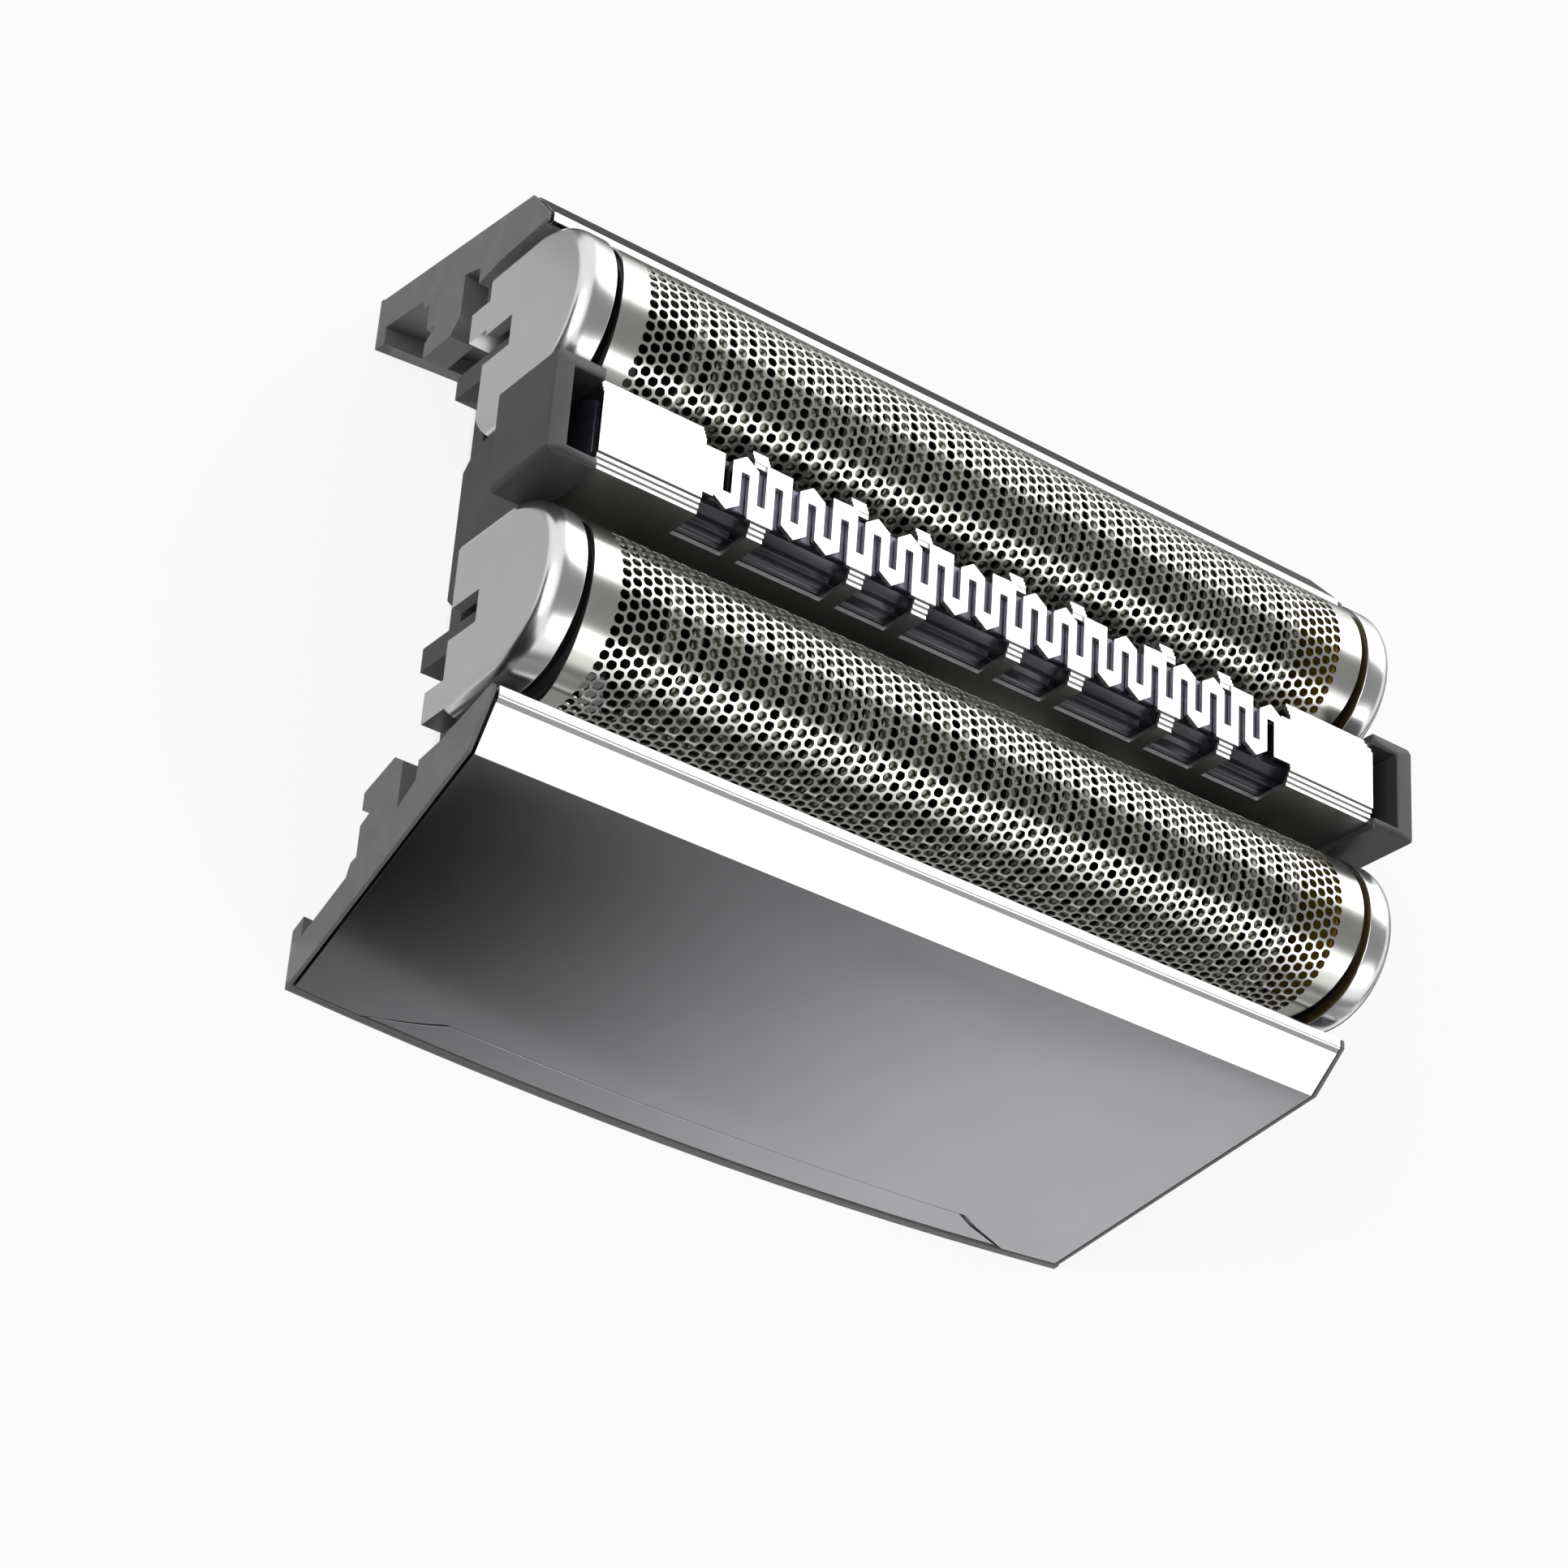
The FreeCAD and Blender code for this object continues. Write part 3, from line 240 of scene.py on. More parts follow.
# Stainless steel, ground smooth on top along its length; its top is painted brighter as a
# highlight and its walls keep a darker tone as painted shade
def ground_steel():
    material = surface("stainless_steel_ground", "#8C8C8A", "#9C9C9A", 1.2, 0.05, bump=0.08,
                       stretch=(0.05, 1, 1), Metallic=1.0, Roughness=0.42)
    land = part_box("trimmer_comb")[1].z - COMB_LAND
    # Painted highlight on the top, with painted shade lines on the shoulders; the walls below keep
    # the darker tone as painted shade
    polish_and_paint_highlight_above(material, land, "#D6D6D6", 0.2, SHOULDER_SHADE_LINES)
    # Painted highlight on the level sills of the windows
    paint_sill_highlights(material, land, "#FFFFFF")
    return material


# Hardened blade steel, stamped and lapped: greyer than the foil, so the rows read under the holes
def lapped_steel():
    return surface("blade_steel_lapped", "#6A6A62", "#82827A", 0.8, 0.06, bump=0.1,
                   Metallic=1.0, Roughness=0.3)


# Moving blade of the trimmer, dark bronze-violet from its hardening
def blued_steel():
    return surface("blade_steel_blued", "#686672", "#7C7A88", 0.6, 0.05, bump=0.08,
                   stretch=(0.1, 1, 1), Metallic=0.7, Roughness=0.35)


# Satin nickel plate on moulded plastic: even light grey on the flat, with lights along its edges
def satin_plate():
    return surface("satin_nickel_plate_on_abs", "#DFDFE1", "#E5E5E7", 3.0, 0.08, bump=0.05,
                   Metallic=1.0, Roughness=0.24)


# Silver lacquer over moulded plastic: a metallic satin that takes the shade of what it faces; its
# bevel is polished and painted brighter as a highlight, with a painted shade line under its lip
def silver_lacquer():
    material = surface("silver_lacquer_on_abs", "#A3A3A6", "#A8A8AB", 4.0, 0.06, bump=0.05,
                       Metallic=1.0, Roughness=0.22)
    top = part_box("front_fascia")[1].z
    # Polished bevel, painted brighter as a highlight
    polish_and_paint_highlight_above(material, top - FASCIA_BEVEL, "#CDCDCF", 0.15)
    # Painted shade line under the fascia's lip
    paint_shade_between(material, top - LIP_SHADE[0], top - LIP_SHADE[1], "#666668")
    return material


# Moulded ABS with a fine spark texture: soft mid grey with no clear reflections
def spark_textured_abs():
    return surface("abs_spark_textured_grey", "#606062", "#6C6C6E", 1.5, 0.09, bump=0.35,
                   IOR=1.53, Roughness=0.5)


# Dark grey acetal, moulded: smooth, slightly waxy
def moulded_acetal():
    return surface("acetal_moulded_dark_grey", "#343436", "#3E3E40", 1.8, 0.1, bump=0.2,
                   IOR=1.48, Roughness=0.42)


# Black acetal, moulded: deep, with a soft sheen; on the left end blocks of the foils it stands as
# painted shade
def black_acetal():
    return surface("acetal_moulded_black", "#18181A", "#222225", 1.6, 0.1, bump=0.2,
                   IOR=1.48, Roughness=0.45)


# Olive polyamide, moulded and glossy: a warm glint in the gaps beside the foils
def olive_polyamide():
    return surface("polyamide_moulded_olive", "#5A4812", "#7E651C", 1.0, 0.12, bump=0.15,
                   IOR=1.53, Roughness=0.25)


# Violet-black ABS, moulded: ledges catch a pale line of light
def violet_abs():
    return surface("abs_moulded_violet_black", "#211F28", "#2E2C36", 0.9, 0.08, bump=0.2,
                   IOR=1.53, Roughness=0.3)


# Drawn spring wire: bright, with fine draw marks along the coil
def spring_wire():
    return surface("spring_steel_wire_drawn", "#A2A2A4", "#C0C0C2", 0.3, 0.04, bump=0.15,
                   Metallic=1.0, Roughness=0.3)


RECIPES = {
    "nickel_foil": nickel_foil,
    "ground_steel": ground_steel,
    "lapped_steel": lapped_steel,
    "blued_steel": blued_steel,
    "satin_plate": satin_plate,
    "silver_lacquer": silver_lacquer,
    "spark_textured_abs": spark_textured_abs,
    "moulded_acetal": moulded_acetal,
    "black_acetal": black_acetal,
    "olive_polyamide": olive_polyamide,
    "violet_abs": violet_abs,
    "spring_wire": spring_wire,
}


def new_piece(name, verts, faces, key, body, slot, *nodes):
    """Mesh object in metres that stands for CAD nodes and rides with their body."""
    mesh = bpy.data.meshes.new(name)
    mesh.from_pydata([Vector(v) * MM for v in verts], [], faces)
    mesh.materials.append(finish(key))
    piece = bpy.data.objects.new(name, mesh)
    bpy.context.scene.collection.objects.link(piece)
    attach(piece, body)
    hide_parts(*nodes)
    return piece


def dress_node(name, key, edge_mm):
    """CAD node kept as it is, with softened edges and a better material."""
    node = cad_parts[name]
    node.data.materials.clear()
    node.data.materials.append(finish(key))
    for polygon in node.data.polygons:
        polygon.use_smooth = edge_mm > 0
    if edge_mm == 0:
        return
    weld = node.modifiers.new("weld", "WELD")
    weld.merge_threshold = WELD_DISTANCE
    soften(node, edge_mm)


def soften(piece, edge_mm):
    """Round the sharp edges of an object by a modifier."""
    bevel = piece.modifiers.new("soft_edges", "BEVEL")
    bevel.width = edge_mm * MM
    bevel.segments = BEVEL_SEGMENTS
    bevel.limit_method = "ANGLE"
    bevel.angle_limit = math.radians(BEVEL_ANGLE)
    bevel.use_clamp_overlap = True
    flats = piece.modifiers.new("flat_faces", "WEIGHTED_NORMAL")
    flats.weight = 100


def unit_axis(side):
    """Axis, radius, half-length and lower edge of a foil, in mm, from its CAD solid."""
    low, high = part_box(side + "_foil")
    radius = (high.y - low.y) / 2
    return {
        "y": (high.y + low.y) / 2 / MM,
        "z": (high.z - radius) / MM,
        "radius": radius / MM,
        "half": high.x / MM,
        "hem": low.z / MM,
    }


# Settings

def length(name, description, size_mm):
    """Length setting with its default in millimetres."""
    return bpy.props.FloatProperty(name=name, description=description, default=size_mm * MM,
                                   unit="LENGTH", precision=5)


class FoilSettings(bpy.types.PropertyGroup):
    """Sizes of the perforated foils."""

    column_pitch: length("Column pitch", "Distance between columns of holes along the foil", 0.488)
    row_pitch: length("Row pitch", "Distance between holes of a column round the arch", 0.5)
    web: length("Web", "Width of metal between two holes", 0.105)
    band: length("End band", "Plain metal at each end of the foil", 1.5)
    sheet: length("Sheet", "Thickness of the foil", 0.09)
    skirt: length("Skirt", "How far the holes reach down the straight flanks", 0.7)
    setback: length("Flank setback", "How far the flanks end short of the crown", 0.6)


class CutterSettings(bpy.types.PropertyGroup):
    """Sizes of the lamella rows under the foils."""

    pitch: length("Lamella pitch", "Distance between lamellae", 0.93)
    wall: length("Lamella", "Thickness of a lamella", 0.48)
    rim: length("Rim", "Radial width of a lamella", 0.95)
    plate: length("End plate", "Thickness of the plates that close the row", 0.6)


class SpringSettings(bpy.types.PropertyGroup):
    """Sizes of the float springs."""

    wire: length("Wire", "Diameter of the wire", 0.3)
    turns: bpy.props.FloatProperty(name="Turns", description="Turns of a spring", default=5.5)


class EdgeSettings(bpy.types.PropertyGroup):
    """How far the edges of the moulded and stamped parts are rounded."""

    moulded: length("Moulded", "Edge rounding of moulded parts", 0.08)
    stamped: length("Stamped", "Edge rounding of stamped parts", 0.025)
    fascia: length("Fascia", "Edge rounding of the lacquered fascias", 0.025)


class CapSettings(bpy.types.PropertyGroup):
    """Sizes of the end caps of the foil units."""

    round_depth: length("Round depth", "How far the rounded rim reaches back from the face", 0.75)
    round_drop: length("Round drop", "How far the rounded rim reaches in from the arch", 0.62)
    crease: length("Crease", "Width of the narrow slope between the rim and the face", 0.05)
    wall: length("Wall", "Thickness of the cap", 0.55)
    foot: length("Foot", "Height of the cap's lower edge over the floor", 13.05)
    slot_width: length("Slot width", "Width of the slot for the tongue of the frame", 1.5)
    slot_top: length("Slot top", "Height of the slot's upper end over the floor", 15.0)
    leg_near: length("Leg near", "Near side of the latch leg from the middle of the cap", 1.85)
    leg_far: length("Leg far", "Far side of the latch leg from the middle of the cap", 3.3)
    leg_root: length("Leg root", "How far the leg reaches up into the cap", 1.5)
    edge: length("Edge", "Rounding of the remaining edges", 0.04)


class StageSettings(bpy.types.PropertyGroup):
    """Light, floor and camera."""

    floor_colour: bpy.props.FloatVectorProperty(
        name="Floor", description="Colour of the floor", subtype="COLOR",
        size=4, default=srgb("#F4F4F4"), min=0.0, max=1.0)
    key_level: bpy.props.FloatProperty(
        name="Key", description="Brightness of the key light's face", default=5.0)
    back_level: bpy.props.FloatProperty(
        name="Back box", description="Brightness of the soft box behind the head", default=1.45)
    front_level: bpy.props.FloatProperty(
        name="Front box", description="Brightness of the soft box before the head", default=1.5)
    room_level: bpy.props.FloatProperty(
        name="Room", description="Brightness of the room", default=0.35)
    lens: bpy.props.FloatProperty(
        name="Lens", description="Focal length on a 36 mm frame", default=90.69)


# Foils

CORNER_SHARE = 0.93     # how far out the corners of a hole stay, which rounds them
MERGE_DISTANCE = 0.002  # mm within which points of neighbouring cells are one
CUT_TOLERANCE = 0.001   # mm within which a point counts as on the sheet's edge


def hole_cell(settings):
    """Outline of one cell of the lattice and of its hole, as points round the centre, in mm."""
    dx = settings.column_pitch / MM
    dy = settings.row_pitch / MM
    half = (dx * dx + dy * dy / 4) / 2
    near = (half - dy * dy / 4) / dx
    far = half / dx
    corners = [(far, 0), (near, dy / 2), (-near, dy / 2),
               (-far, 0), (-near, -dy / 2), (near, -dy / 2)]
    outline = []
    for a, b in zip(corners, corners[1:] + corners[:1]):
        outline += [a, ((a[0] + b[0]) / 2, (a[1] + b[1]) / 2)]
    share = 1 - settings.web / settings.row_pitch
    hole = []
    for k, (x, y) in enumerate(outline):
        scale = share if k % 2 else share * CORNER_SHARE
        hole.append((x * scale, y * scale))
    return outline, hole


def flat_foil(settings, axis, reach):
    """Perforated sheet in the flat: X along the foil and Y round the arch, in mm."""
    outline, hole = hole_cell(settings)
    sides = len(outline)
    dx = settings.column_pitch / MM
    dy = settings.row_pitch / MM
    field = axis["half"] - settings.band / MM
    arc = math.pi / 2 * axis["radius"]
    skirt = settings.skirt / MM
    columns = int((axis["half"] + dx) / dx)
    rows = int((reach + dy) / dy)
    bm = bmesh.new()
    for column in range(-columns, columns + 1):
        for row in range(-rows, rows + 1):
            x = column * dx
            y = (row + (column % 2) / 2) * dy
            rim = [bm.verts.new((x + px, y + py, 0)) for px, py in outline]
            if abs(x) < field and abs(y) < arc + skirt:
                edge = [bm.verts.new((x + px, y + py, 0)) for px, py in hole]
                for k in range(sides):
                    j = (k + 1) % sides
                    bm.faces.new((rim[k], rim[j], edge[j], edge[k]))
            else:
                middle = bm.verts.new((x, y, 0))
                for k in range(sides):
                    bm.faces.new((rim[k], rim[(k + 1) % sides], middle))
    bmesh.ops.remove_doubles(bm, verts=bm.verts, dist=MERGE_DISTANCE)
    for normal, distance in (((1, 0, 0), axis["half"]), ((-1, 0, 0), axis["half"]),
                             ((0, 1, 0), reach), ((0, -1, 0), reach)):
        bmesh.ops.bisect_plane(bm, geom=bm.verts[:] + bm.edges[:] + bm.faces[:],
                               dist=CUT_TOLERANCE, plane_co=Vector(normal) * distance,
                               plane_no=normal, clear_outer=True)
    return bm


def bend_point(x, along, axis, settings, depth):
    """Place and outward direction of a point of the flat sheet once it is bent over the arch."""
    radius = axis["radius"]
    field = axis["half"] - settings.band / MM
    angle = max(-math.pi / 2, min(math.pi / 2, along / radius))
    drop = max(0.0, abs(along) - math.pi / 2 * radius)
    outward = Vector((0, math.sin(angle), math.cos(angle)))
    end = axis["half"] - settings.setback / MM * (1 - math.cos(angle))
    if abs(x) > field:
        share = (abs(x) - field) / (axis["half"] - field)
        x = math.copysign(field + share * (end - field), x)
    place = Vector((x, axis["y"], axis["z"] - drop)) + outward * (radius - depth)
    return place, outward


def make_foil(side, settings):
    """One foil: the flat lattice, bent and given its thickness."""
    axis = unit_axis(side)
    reach = math.pi / 2 * axis["radius"] + axis["z"] - axis["hem"]
    bm = flat_foil(settings, axis, reach)
    bm.verts.index_update()
    count = len(bm.verts)
    skin = [bend_point(v.co.x, v.co.y, axis, settings, 0) for v in bm.verts]
    inner = [bend_point(v.co.x, v.co.y, axis, settings, settings.sheet / MM) for v in bm.verts]
    verts = [place for place, _ in skin + inner]
    outward = [normal for _, normal in skin]
    faces = []
    normals = []
    for face in bm.faces:
        ring = [v.index for v in face.verts]
        faces.append(ring)
        normals.append([outward[i] for i in ring])
        faces.append([i + count for i in reversed(ring)])
        normals.append([-outward[i] for i in reversed(ring)])
    for edge in bm.edges:
        if len(edge.link_faces) != 1:
            continue
        loop = edge.link_loops[0]
        a = loop.vert.index
        b = loop.link_loop_next.vert.index
        faces.append([b, a, a + count, b + count])
        flat = (verts[b] - verts[a]).cross(outward[a]).normalized()
        normals.append([flat] * 4)
    bm.free()
    piece = new_piece(side + "_foil_perforated", verts, faces, "nickel_foil",
                      side + "_foil_unit", "foil_steel", side + "_foil")
    for polygon in piece.data.polygons:
        polygon.use_smooth = True
    piece.data.normals_split_custom_set([n for ring in normals for n in ring])


class HEAD_OT_foils(bpy.types.Operator):
    """Bend a perforated sheet over each cutter"""

    bl_idname = "foil_head.foils"
    bl_label = "Foils"

    def execute(self, context):
        for side in SIDES:
            make_foil(side, context.scene.head_foil)
        return {"FINISHED"}


# Cutters

ROW_STEPS = 40      # chords of a lamella's arch
STRIP_HEIGHT = 0.4  # mm, of the strips that the lamellae stand on
SMOOTH_BELOW = 30   # degrees below which an edge between two faces is shaded smooth


def arch_outline(axis, radius, low, steps):
    """Points of an arch from its left foot over the crown to its right foot, in the YZ plane."""
    points = [(axis["y"] - radius, low)]
    for k in range(steps + 1):
        angle = math.pi * (1 - k / steps)
        points.append((axis["y"] + radius * math.cos(angle), axis["z"] + radius * math.sin(angle)))
    return points + [(axis["y"] + radius, low)]


def upright_box(near, far, low, high):
    """Outline of a rectangle in the YZ plane."""
    y0, y1 = sorted((near, far))
    return [(y0, low), (y1, low), (y1, high), (y0, high)]


def add_prism(verts, faces, outline, x0, x1, inner=None):
    """Sweep an outline along X; with an inner one the section is the band between the two."""
    count = len(outline)
    base = len(verts)
    for x in (x0, x1):
        verts += [(x, y, z) for y, z in outline]
    if inner is None:
        for k in range(count):
            j = (k + 1) % count
            faces.append([base + k, base + j, base + count + j, base + count + k])
        faces.append([base + k for k in reversed(range(count))])
        faces.append([base + count + k for k in range(count)])
        return
    for x in (x0, x1):
        verts += [(x, y, z) for y, z in inner]
    out_a, out_b, in_a, in_b = (base + k * count for k in range(4))
    for k in range(count - 1):
        faces.append([out_a + k, out_a + k + 1, out_b + k + 1, out_b + k])
        faces.append([in_a + k + 1, in_a + k, in_b + k, in_b + k + 1])
        faces.append([out_a + k + 1, out_a + k, in_a + k, in_a + k + 1])
        faces.append([out_b + k, out_b + k + 1, in_b + k + 1, in_b + k])
    for k, flip in ((0, False), (count - 1, True)):
        foot = [out_a + k, out_b + k, in_b + k, in_a + k]
        faces.append(foot[::-1] if flip else foot)


def make_cutter(side, settings):
    """Row of arched lamellae between two stout end plates, on foot strips."""
    axis = unit_axis(side)
    low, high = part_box(side + "_cutter_blades")
    radius = (high.y - low.y) / 2 / MM
    foot = low.z / MM
    half = high.x / MM
    rim = settings.rim / MM
    plate = settings.plate / MM
    wall = settings.wall / MM
    outer = arch_outline(axis, radius, foot, ROW_STEPS)
    inner = arch_outline(axis, radius - rim, foot, ROW_STEPS)
    verts = []
    faces = []
    room = half - plate - wall
    count = int(2 * room / (settings.pitch / MM))
    for k in range(count + 1):
        x = (k - count / 2) * settings.pitch / MM
        add_prism(verts, faces, outer, x - wall / 2, x + wall / 2, inner)
    for end in (-1, 1):
        x0, x1 = sorted((end * (half - plate), end * half))
        add_prism(verts, faces, outer, x0, x1)
    for end in (-1, 1):
        near = axis["y"] + end * (radius - rim)
        far = axis["y"] + end * (radius - rim / 3)
        strip = upright_box(near, far, foot, foot + STRIP_HEIGHT)
        add_prism(verts, faces, strip, -half + plate, half - plate)
    piece = new_piece(side + "_lamella_row", verts, faces, "lapped_steel",
                      side + "_cutter", "blade_steel", side + "_cutter_blades")
    tidy_normals(piece, SMOOTH_BELOW)


def tidy_normals(piece, angle):
    """Turn all faces outwards and shade the round ones smooth."""
    bm = bmesh.new()
    bm.from_mesh(piece.data)
    bmesh.ops.recalc_face_normals(bm, faces=bm.faces)
    for face in bm.faces:
        face.smooth = True
    for edge in bm.edges:
        if len(edge.link_faces) == 2 and edge.calc_face_angle(0) > math.radians(angle):
            edge.smooth = False
    bm.to_mesh(piece.data)
    bm.free()


class HEAD_OT_cutters(bpy.types.Operator):
    """Lay a row of lamellae under each foil and dress what carries it"""

    bl_idname = "foil_head.cutters"
    bl_label = "Cutters"

    def execute(self, context):
        edge = context.scene.head_edges.moulded / MM
        for side in SIDES:
            make_cutter(side, context.scene.head_cutter)
            dress_node(side + "_cutter_carrier", "black_acetal", edge)
            dress_node(side + "_cutter_drive_cup", "black_acetal", edge)
        return {"FINISHED"}


# Foil units

CAP_STEPS = 48          # chords of a cap's arch
CAP_LEAD = 0.03         # mm, bevel at the open end of a cap
RIM_TURN = 80           # degrees that the rounded rim turns from the arch towards the face
RIM_STEPS = 10
CAP_SMOOTH_BELOW = 28   # degrees: keeps the crease between rim and face


def arch_ring(axis, x, inset, foot):
    """Points round an arched cap at one station of its profile."""
    outline = arch_outline(axis, axis["cap"] - inset, foot, CAP_STEPS)
    return [(x, y, z) for y, z in outline]


def cap_profile(settings, inner, outer):
    """Stations of a cap from its open end to its face: place along X and inset from the arch."""
    depth = settings.round_depth / MM
    drop = settings.round_drop / MM
    stations = [(inner, CAP_LEAD), (inner + CAP_LEAD, 0)]
    for k in range(RIM_STEPS + 1):
        turn = math.radians(RIM_TURN) * k / RIM_STEPS
        stations.append((outer - depth + depth * math.sin(turn), drop * (1 - math.cos(turn))))
    return stations + [(outer, stations[-1][1] + settings.crease / MM)]


def make_cap(side, end, settings):
    """Rounded end cap: a shell open to the foil and below, with its slot and its latch leg."""
    name = side + "_foil_cap_" + end
    axis = unit_axis(side)
    low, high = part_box(name)
    axis["cap"] = (high.y - low.y) / 2 / MM
    sign = 1 if end == "right" else -1
    inner, outer = sorted((abs(low.x) / MM, abs(high.x) / MM))
    wall = settings.wall / MM
    foot = settings.foot / MM
    stations = [(outer - wall, wall), (inner, wall)] + cap_profile(settings, inner, outer)
    rings = [arch_ring(axis, x, inset, foot) for x, inset in stations]
    count = len(rings[0])
    verts = [point for ring in rings for point in ring]
    faces = []
    for r in range(len(rings) - 1):
        for k in range(count - 1):
            a = r * count + k
            faces.append([a, a + 1, a + count + 1, a + count])
    slot = settings.slot_width / MM / 2
    top = settings.slot_top / MM
    notch = [(slot, foot), (slot, top), (-slot, top), (-slot, foot)]
    base = len(verts)
    for x in (outer, outer - wall):
        verts += [(x, axis["y"] + y, z) for y, z in notch]
    last = (len(rings) - 1) * count
    faces.append([last + k for k in range(count)] + [base, base + 1, base + 2, base + 3])
    faces.append(list(range(count)) + [base + 4, base + 5, base + 6, base + 7])
    for k in range(3):
        faces.append([base + k, base + k + 1, base + k + 5, base + k + 4])
    for k, near in ((0, 3), (count - 1, 0)):
        faces.append([r * count + k for r in range(len(rings))] + [base + near, base + near + 4])
    add_leg(verts, faces, axis, low.z / MM, foot, inner, outer - wall, settings)
    verts = [(sign * x, y, z) for x, y, z in verts]
    piece = new_piece(name + "_rounded", verts, faces, "satin_plate",
                      side + "_foil_unit", "cap_grey", name)
    tidy_normals(piece, CAP_SMOOTH_BELOW)
    soften(piece, settings.edge / MM)


def add_leg(verts, faces, axis, low, foot, x0, x1, settings):
    """Latch leg that hangs from the hollow of a cap on its outer side."""
    out = math.copysign(1, axis["y"])
    near = axis["y"] + out * settings.leg_near / MM
    far = axis["y"] + out * settings.leg_far / MM
    root = foot + settings.leg_root / MM
    add_prism(verts, faces, upright_box(near, far, low, root), x0, x1)


class HEAD_OT_foil_units(bpy.types.Operator):
    """Mould the end caps and dress the end blocks and frames that hold the foils"""

    bl_idname = "foil_head.foil_units"
    bl_label = "Foil units"

    def execute(self, context):
        edges = context.scene.head_edges
        for side in SIDES:
            dress_node(side + "_foil_frame", "black_acetal", edges.moulded / MM)
            for end in ENDS:
                make_cap(side, end, context.scene.head_cap)
                # The left end blocks, of the same olive as the right ones, are painted black as
                # shade
                key = "olive_polyamide" if end == "right" else "black_acetal"
                dress_node(side + "_foil_end_block_" + end, key, edges.moulded / MM)
        return {"FINISHED"}


# Trimmer

class HEAD_OT_trimmer(bpy.types.Operator):
    """Dress the comb, the moving blade and what holds them"""

    bl_idname = "foil_head.trimmer"
    bl_label = "Trimmer"

    def execute(self, context):
        edges = context.scene.head_edges
        dress_node("trimmer_comb", "ground_steel", 0)
        dress_node("trimmer_blade", "blued_steel", edges.stamped / MM)
        dress_node("trimmer_block", "violet_abs", edges.moulded / MM / 2)
        dress_node("trimmer_slider", "black_acetal", edges.moulded / MM)
        for end in ENDS:
            dress_node("trimmer_box_" + end, "moulded_acetal", edges.moulded / MM)
        return {"FINISHED"}


# Springs

TURN_STEPS = 28         # rings of points in a turn
WIRE_SIDES = 10
CLOSED_TURNS = 0.9      # of each end of a coil, wound without pitch
CLOSED_RISE = 0.98      # how far a closed turn climbs on the one under it, in wires
WIRE_SMOOTH_BELOW = 60  # degrees: the sides of the wire are shaded as one round


def make_spring(node, body, settings):
    """Round-wire coil with closed ends in place of a CAD spring."""
    low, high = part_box(node)
    centre = (low + high) / 2 / MM
    wire = settings.wire / MM
    turns = settings.turns
    radius = (high.x - low.x) / 2 / MM - wire / 2
    floor = low.z / MM + wire / 2
    rise = (high.z - low.z) / MM - wire
    steps = int(turns * TURN_STEPS)
    verts = []
    faces = []
    for k in range(steps + 1):
        turn = k / steps * turns
        climb = min(max((turn - CLOSED_TURNS) / (turns - 2 * CLOSED_TURNS), 0), 1)
        closed = min(turn, 1) + max(0, turn - turns + 1)
        height = floor + climb * (rise - 2 * wire) + wire * closed * CLOSED_RISE
        angle = 2 * math.pi * turn
        outward = Vector((math.cos(angle), math.sin(angle), 0))
        middle = Vector((centre.x, centre.y, min(height, floor + rise))) + outward * radius
        for j in range(WIRE_SIDES):
            a = 2 * math.pi * j / WIRE_SIDES
            spoke = outward * math.cos(a) + Vector((0, 0, math.sin(a)))
            verts.append(middle + spoke * wire / 2)
    for k in range(steps):
        here, there = k * WIRE_SIDES, (k + 1) * WIRE_SIDES
        for j in range(WIRE_SIDES):
            i = (j + 1) % WIRE_SIDES
            faces.append([here + j, here + i, there + i, there + j])
    faces.append(list(range(WIRE_SIDES)))
    faces.append([steps * WIRE_SIDES + j for j in reversed(range(WIRE_SIDES))])
    piece = new_piece(node + "_coil", verts, faces, "spring_wire", body, "spring_steel", node)
    tidy_normals(piece, WIRE_SMOOTH_BELOW)
    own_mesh(piece)


class HEAD_OT_springs(bpy.types.Operator):
    """Wind the springs that let the foils and the trimmer float"""

    bl_idname = "foil_head.springs"
    bl_label = "Springs"

    def execute(self, context):
        settings = context.scene.head_spring
        for end in ENDS:
            for side in SIDES:
                make_spring(side + "_foil_spring_" + end, "clip_on_frame",
                            settings)
            make_spring("trimmer_spring_" + end, "clip_on_frame", settings)
        return {"FINISHED"}


# Panels and frame

class HEAD_OT_panels(bpy.types.Operator):
    """Dress the two panels and the inner frame between them"""

    bl_idname = "foil_head.panels"
    bl_label = "Panels and frame"

    def execute(self, context):
        edge = context.scene.head_edges.moulded / MM
        for side in SIDES:
            dress_node(side + "_panel_carrier", "spark_textured_abs", edge)
            dress_node(side + "_fascia", "silver_lacquer", context.scene.head_edges.fascia / MM)
        dress_node("inner_frame", "moulded_acetal", edge)
        return {"FINISHED"}


# Stage

HEAD_MIDDLE = (0, 0, 0.012)

# Soft boxes: way from the head, distance and side in metres, and the setting of their brightness
BOXES = {
    "key_light": ((-0.78, -0.12, 0.62), 0.30, 0.17, "key_level"),
    "back_box": ((0.50, 0.68, 0.48), 0.34, 0.30, "back_level"),
    "front_box": ((0.50, -0.58, 0.64), 0.34, 0.17, "front_level"),
}


def level_card(x, y, z):
    """Corners of a level card over a span of X and one of Y, in metres."""
    return [(x[0], y[0], z), (x[1], y[0], z), (x[1], y[1], z), (x[0], y[1], z)]


def upright_card(start, end, low, tops):
    """Corners of a card that stands from one plan point to another, with its height at each."""
    return [(*start, low), (*end, low), (*end, tops[1]), (*start, tops[0])]


ON_FLOOR = 0.0001    # metres
OVER_FLOOR = 0.0002  # clear of the cards that lie on the floor

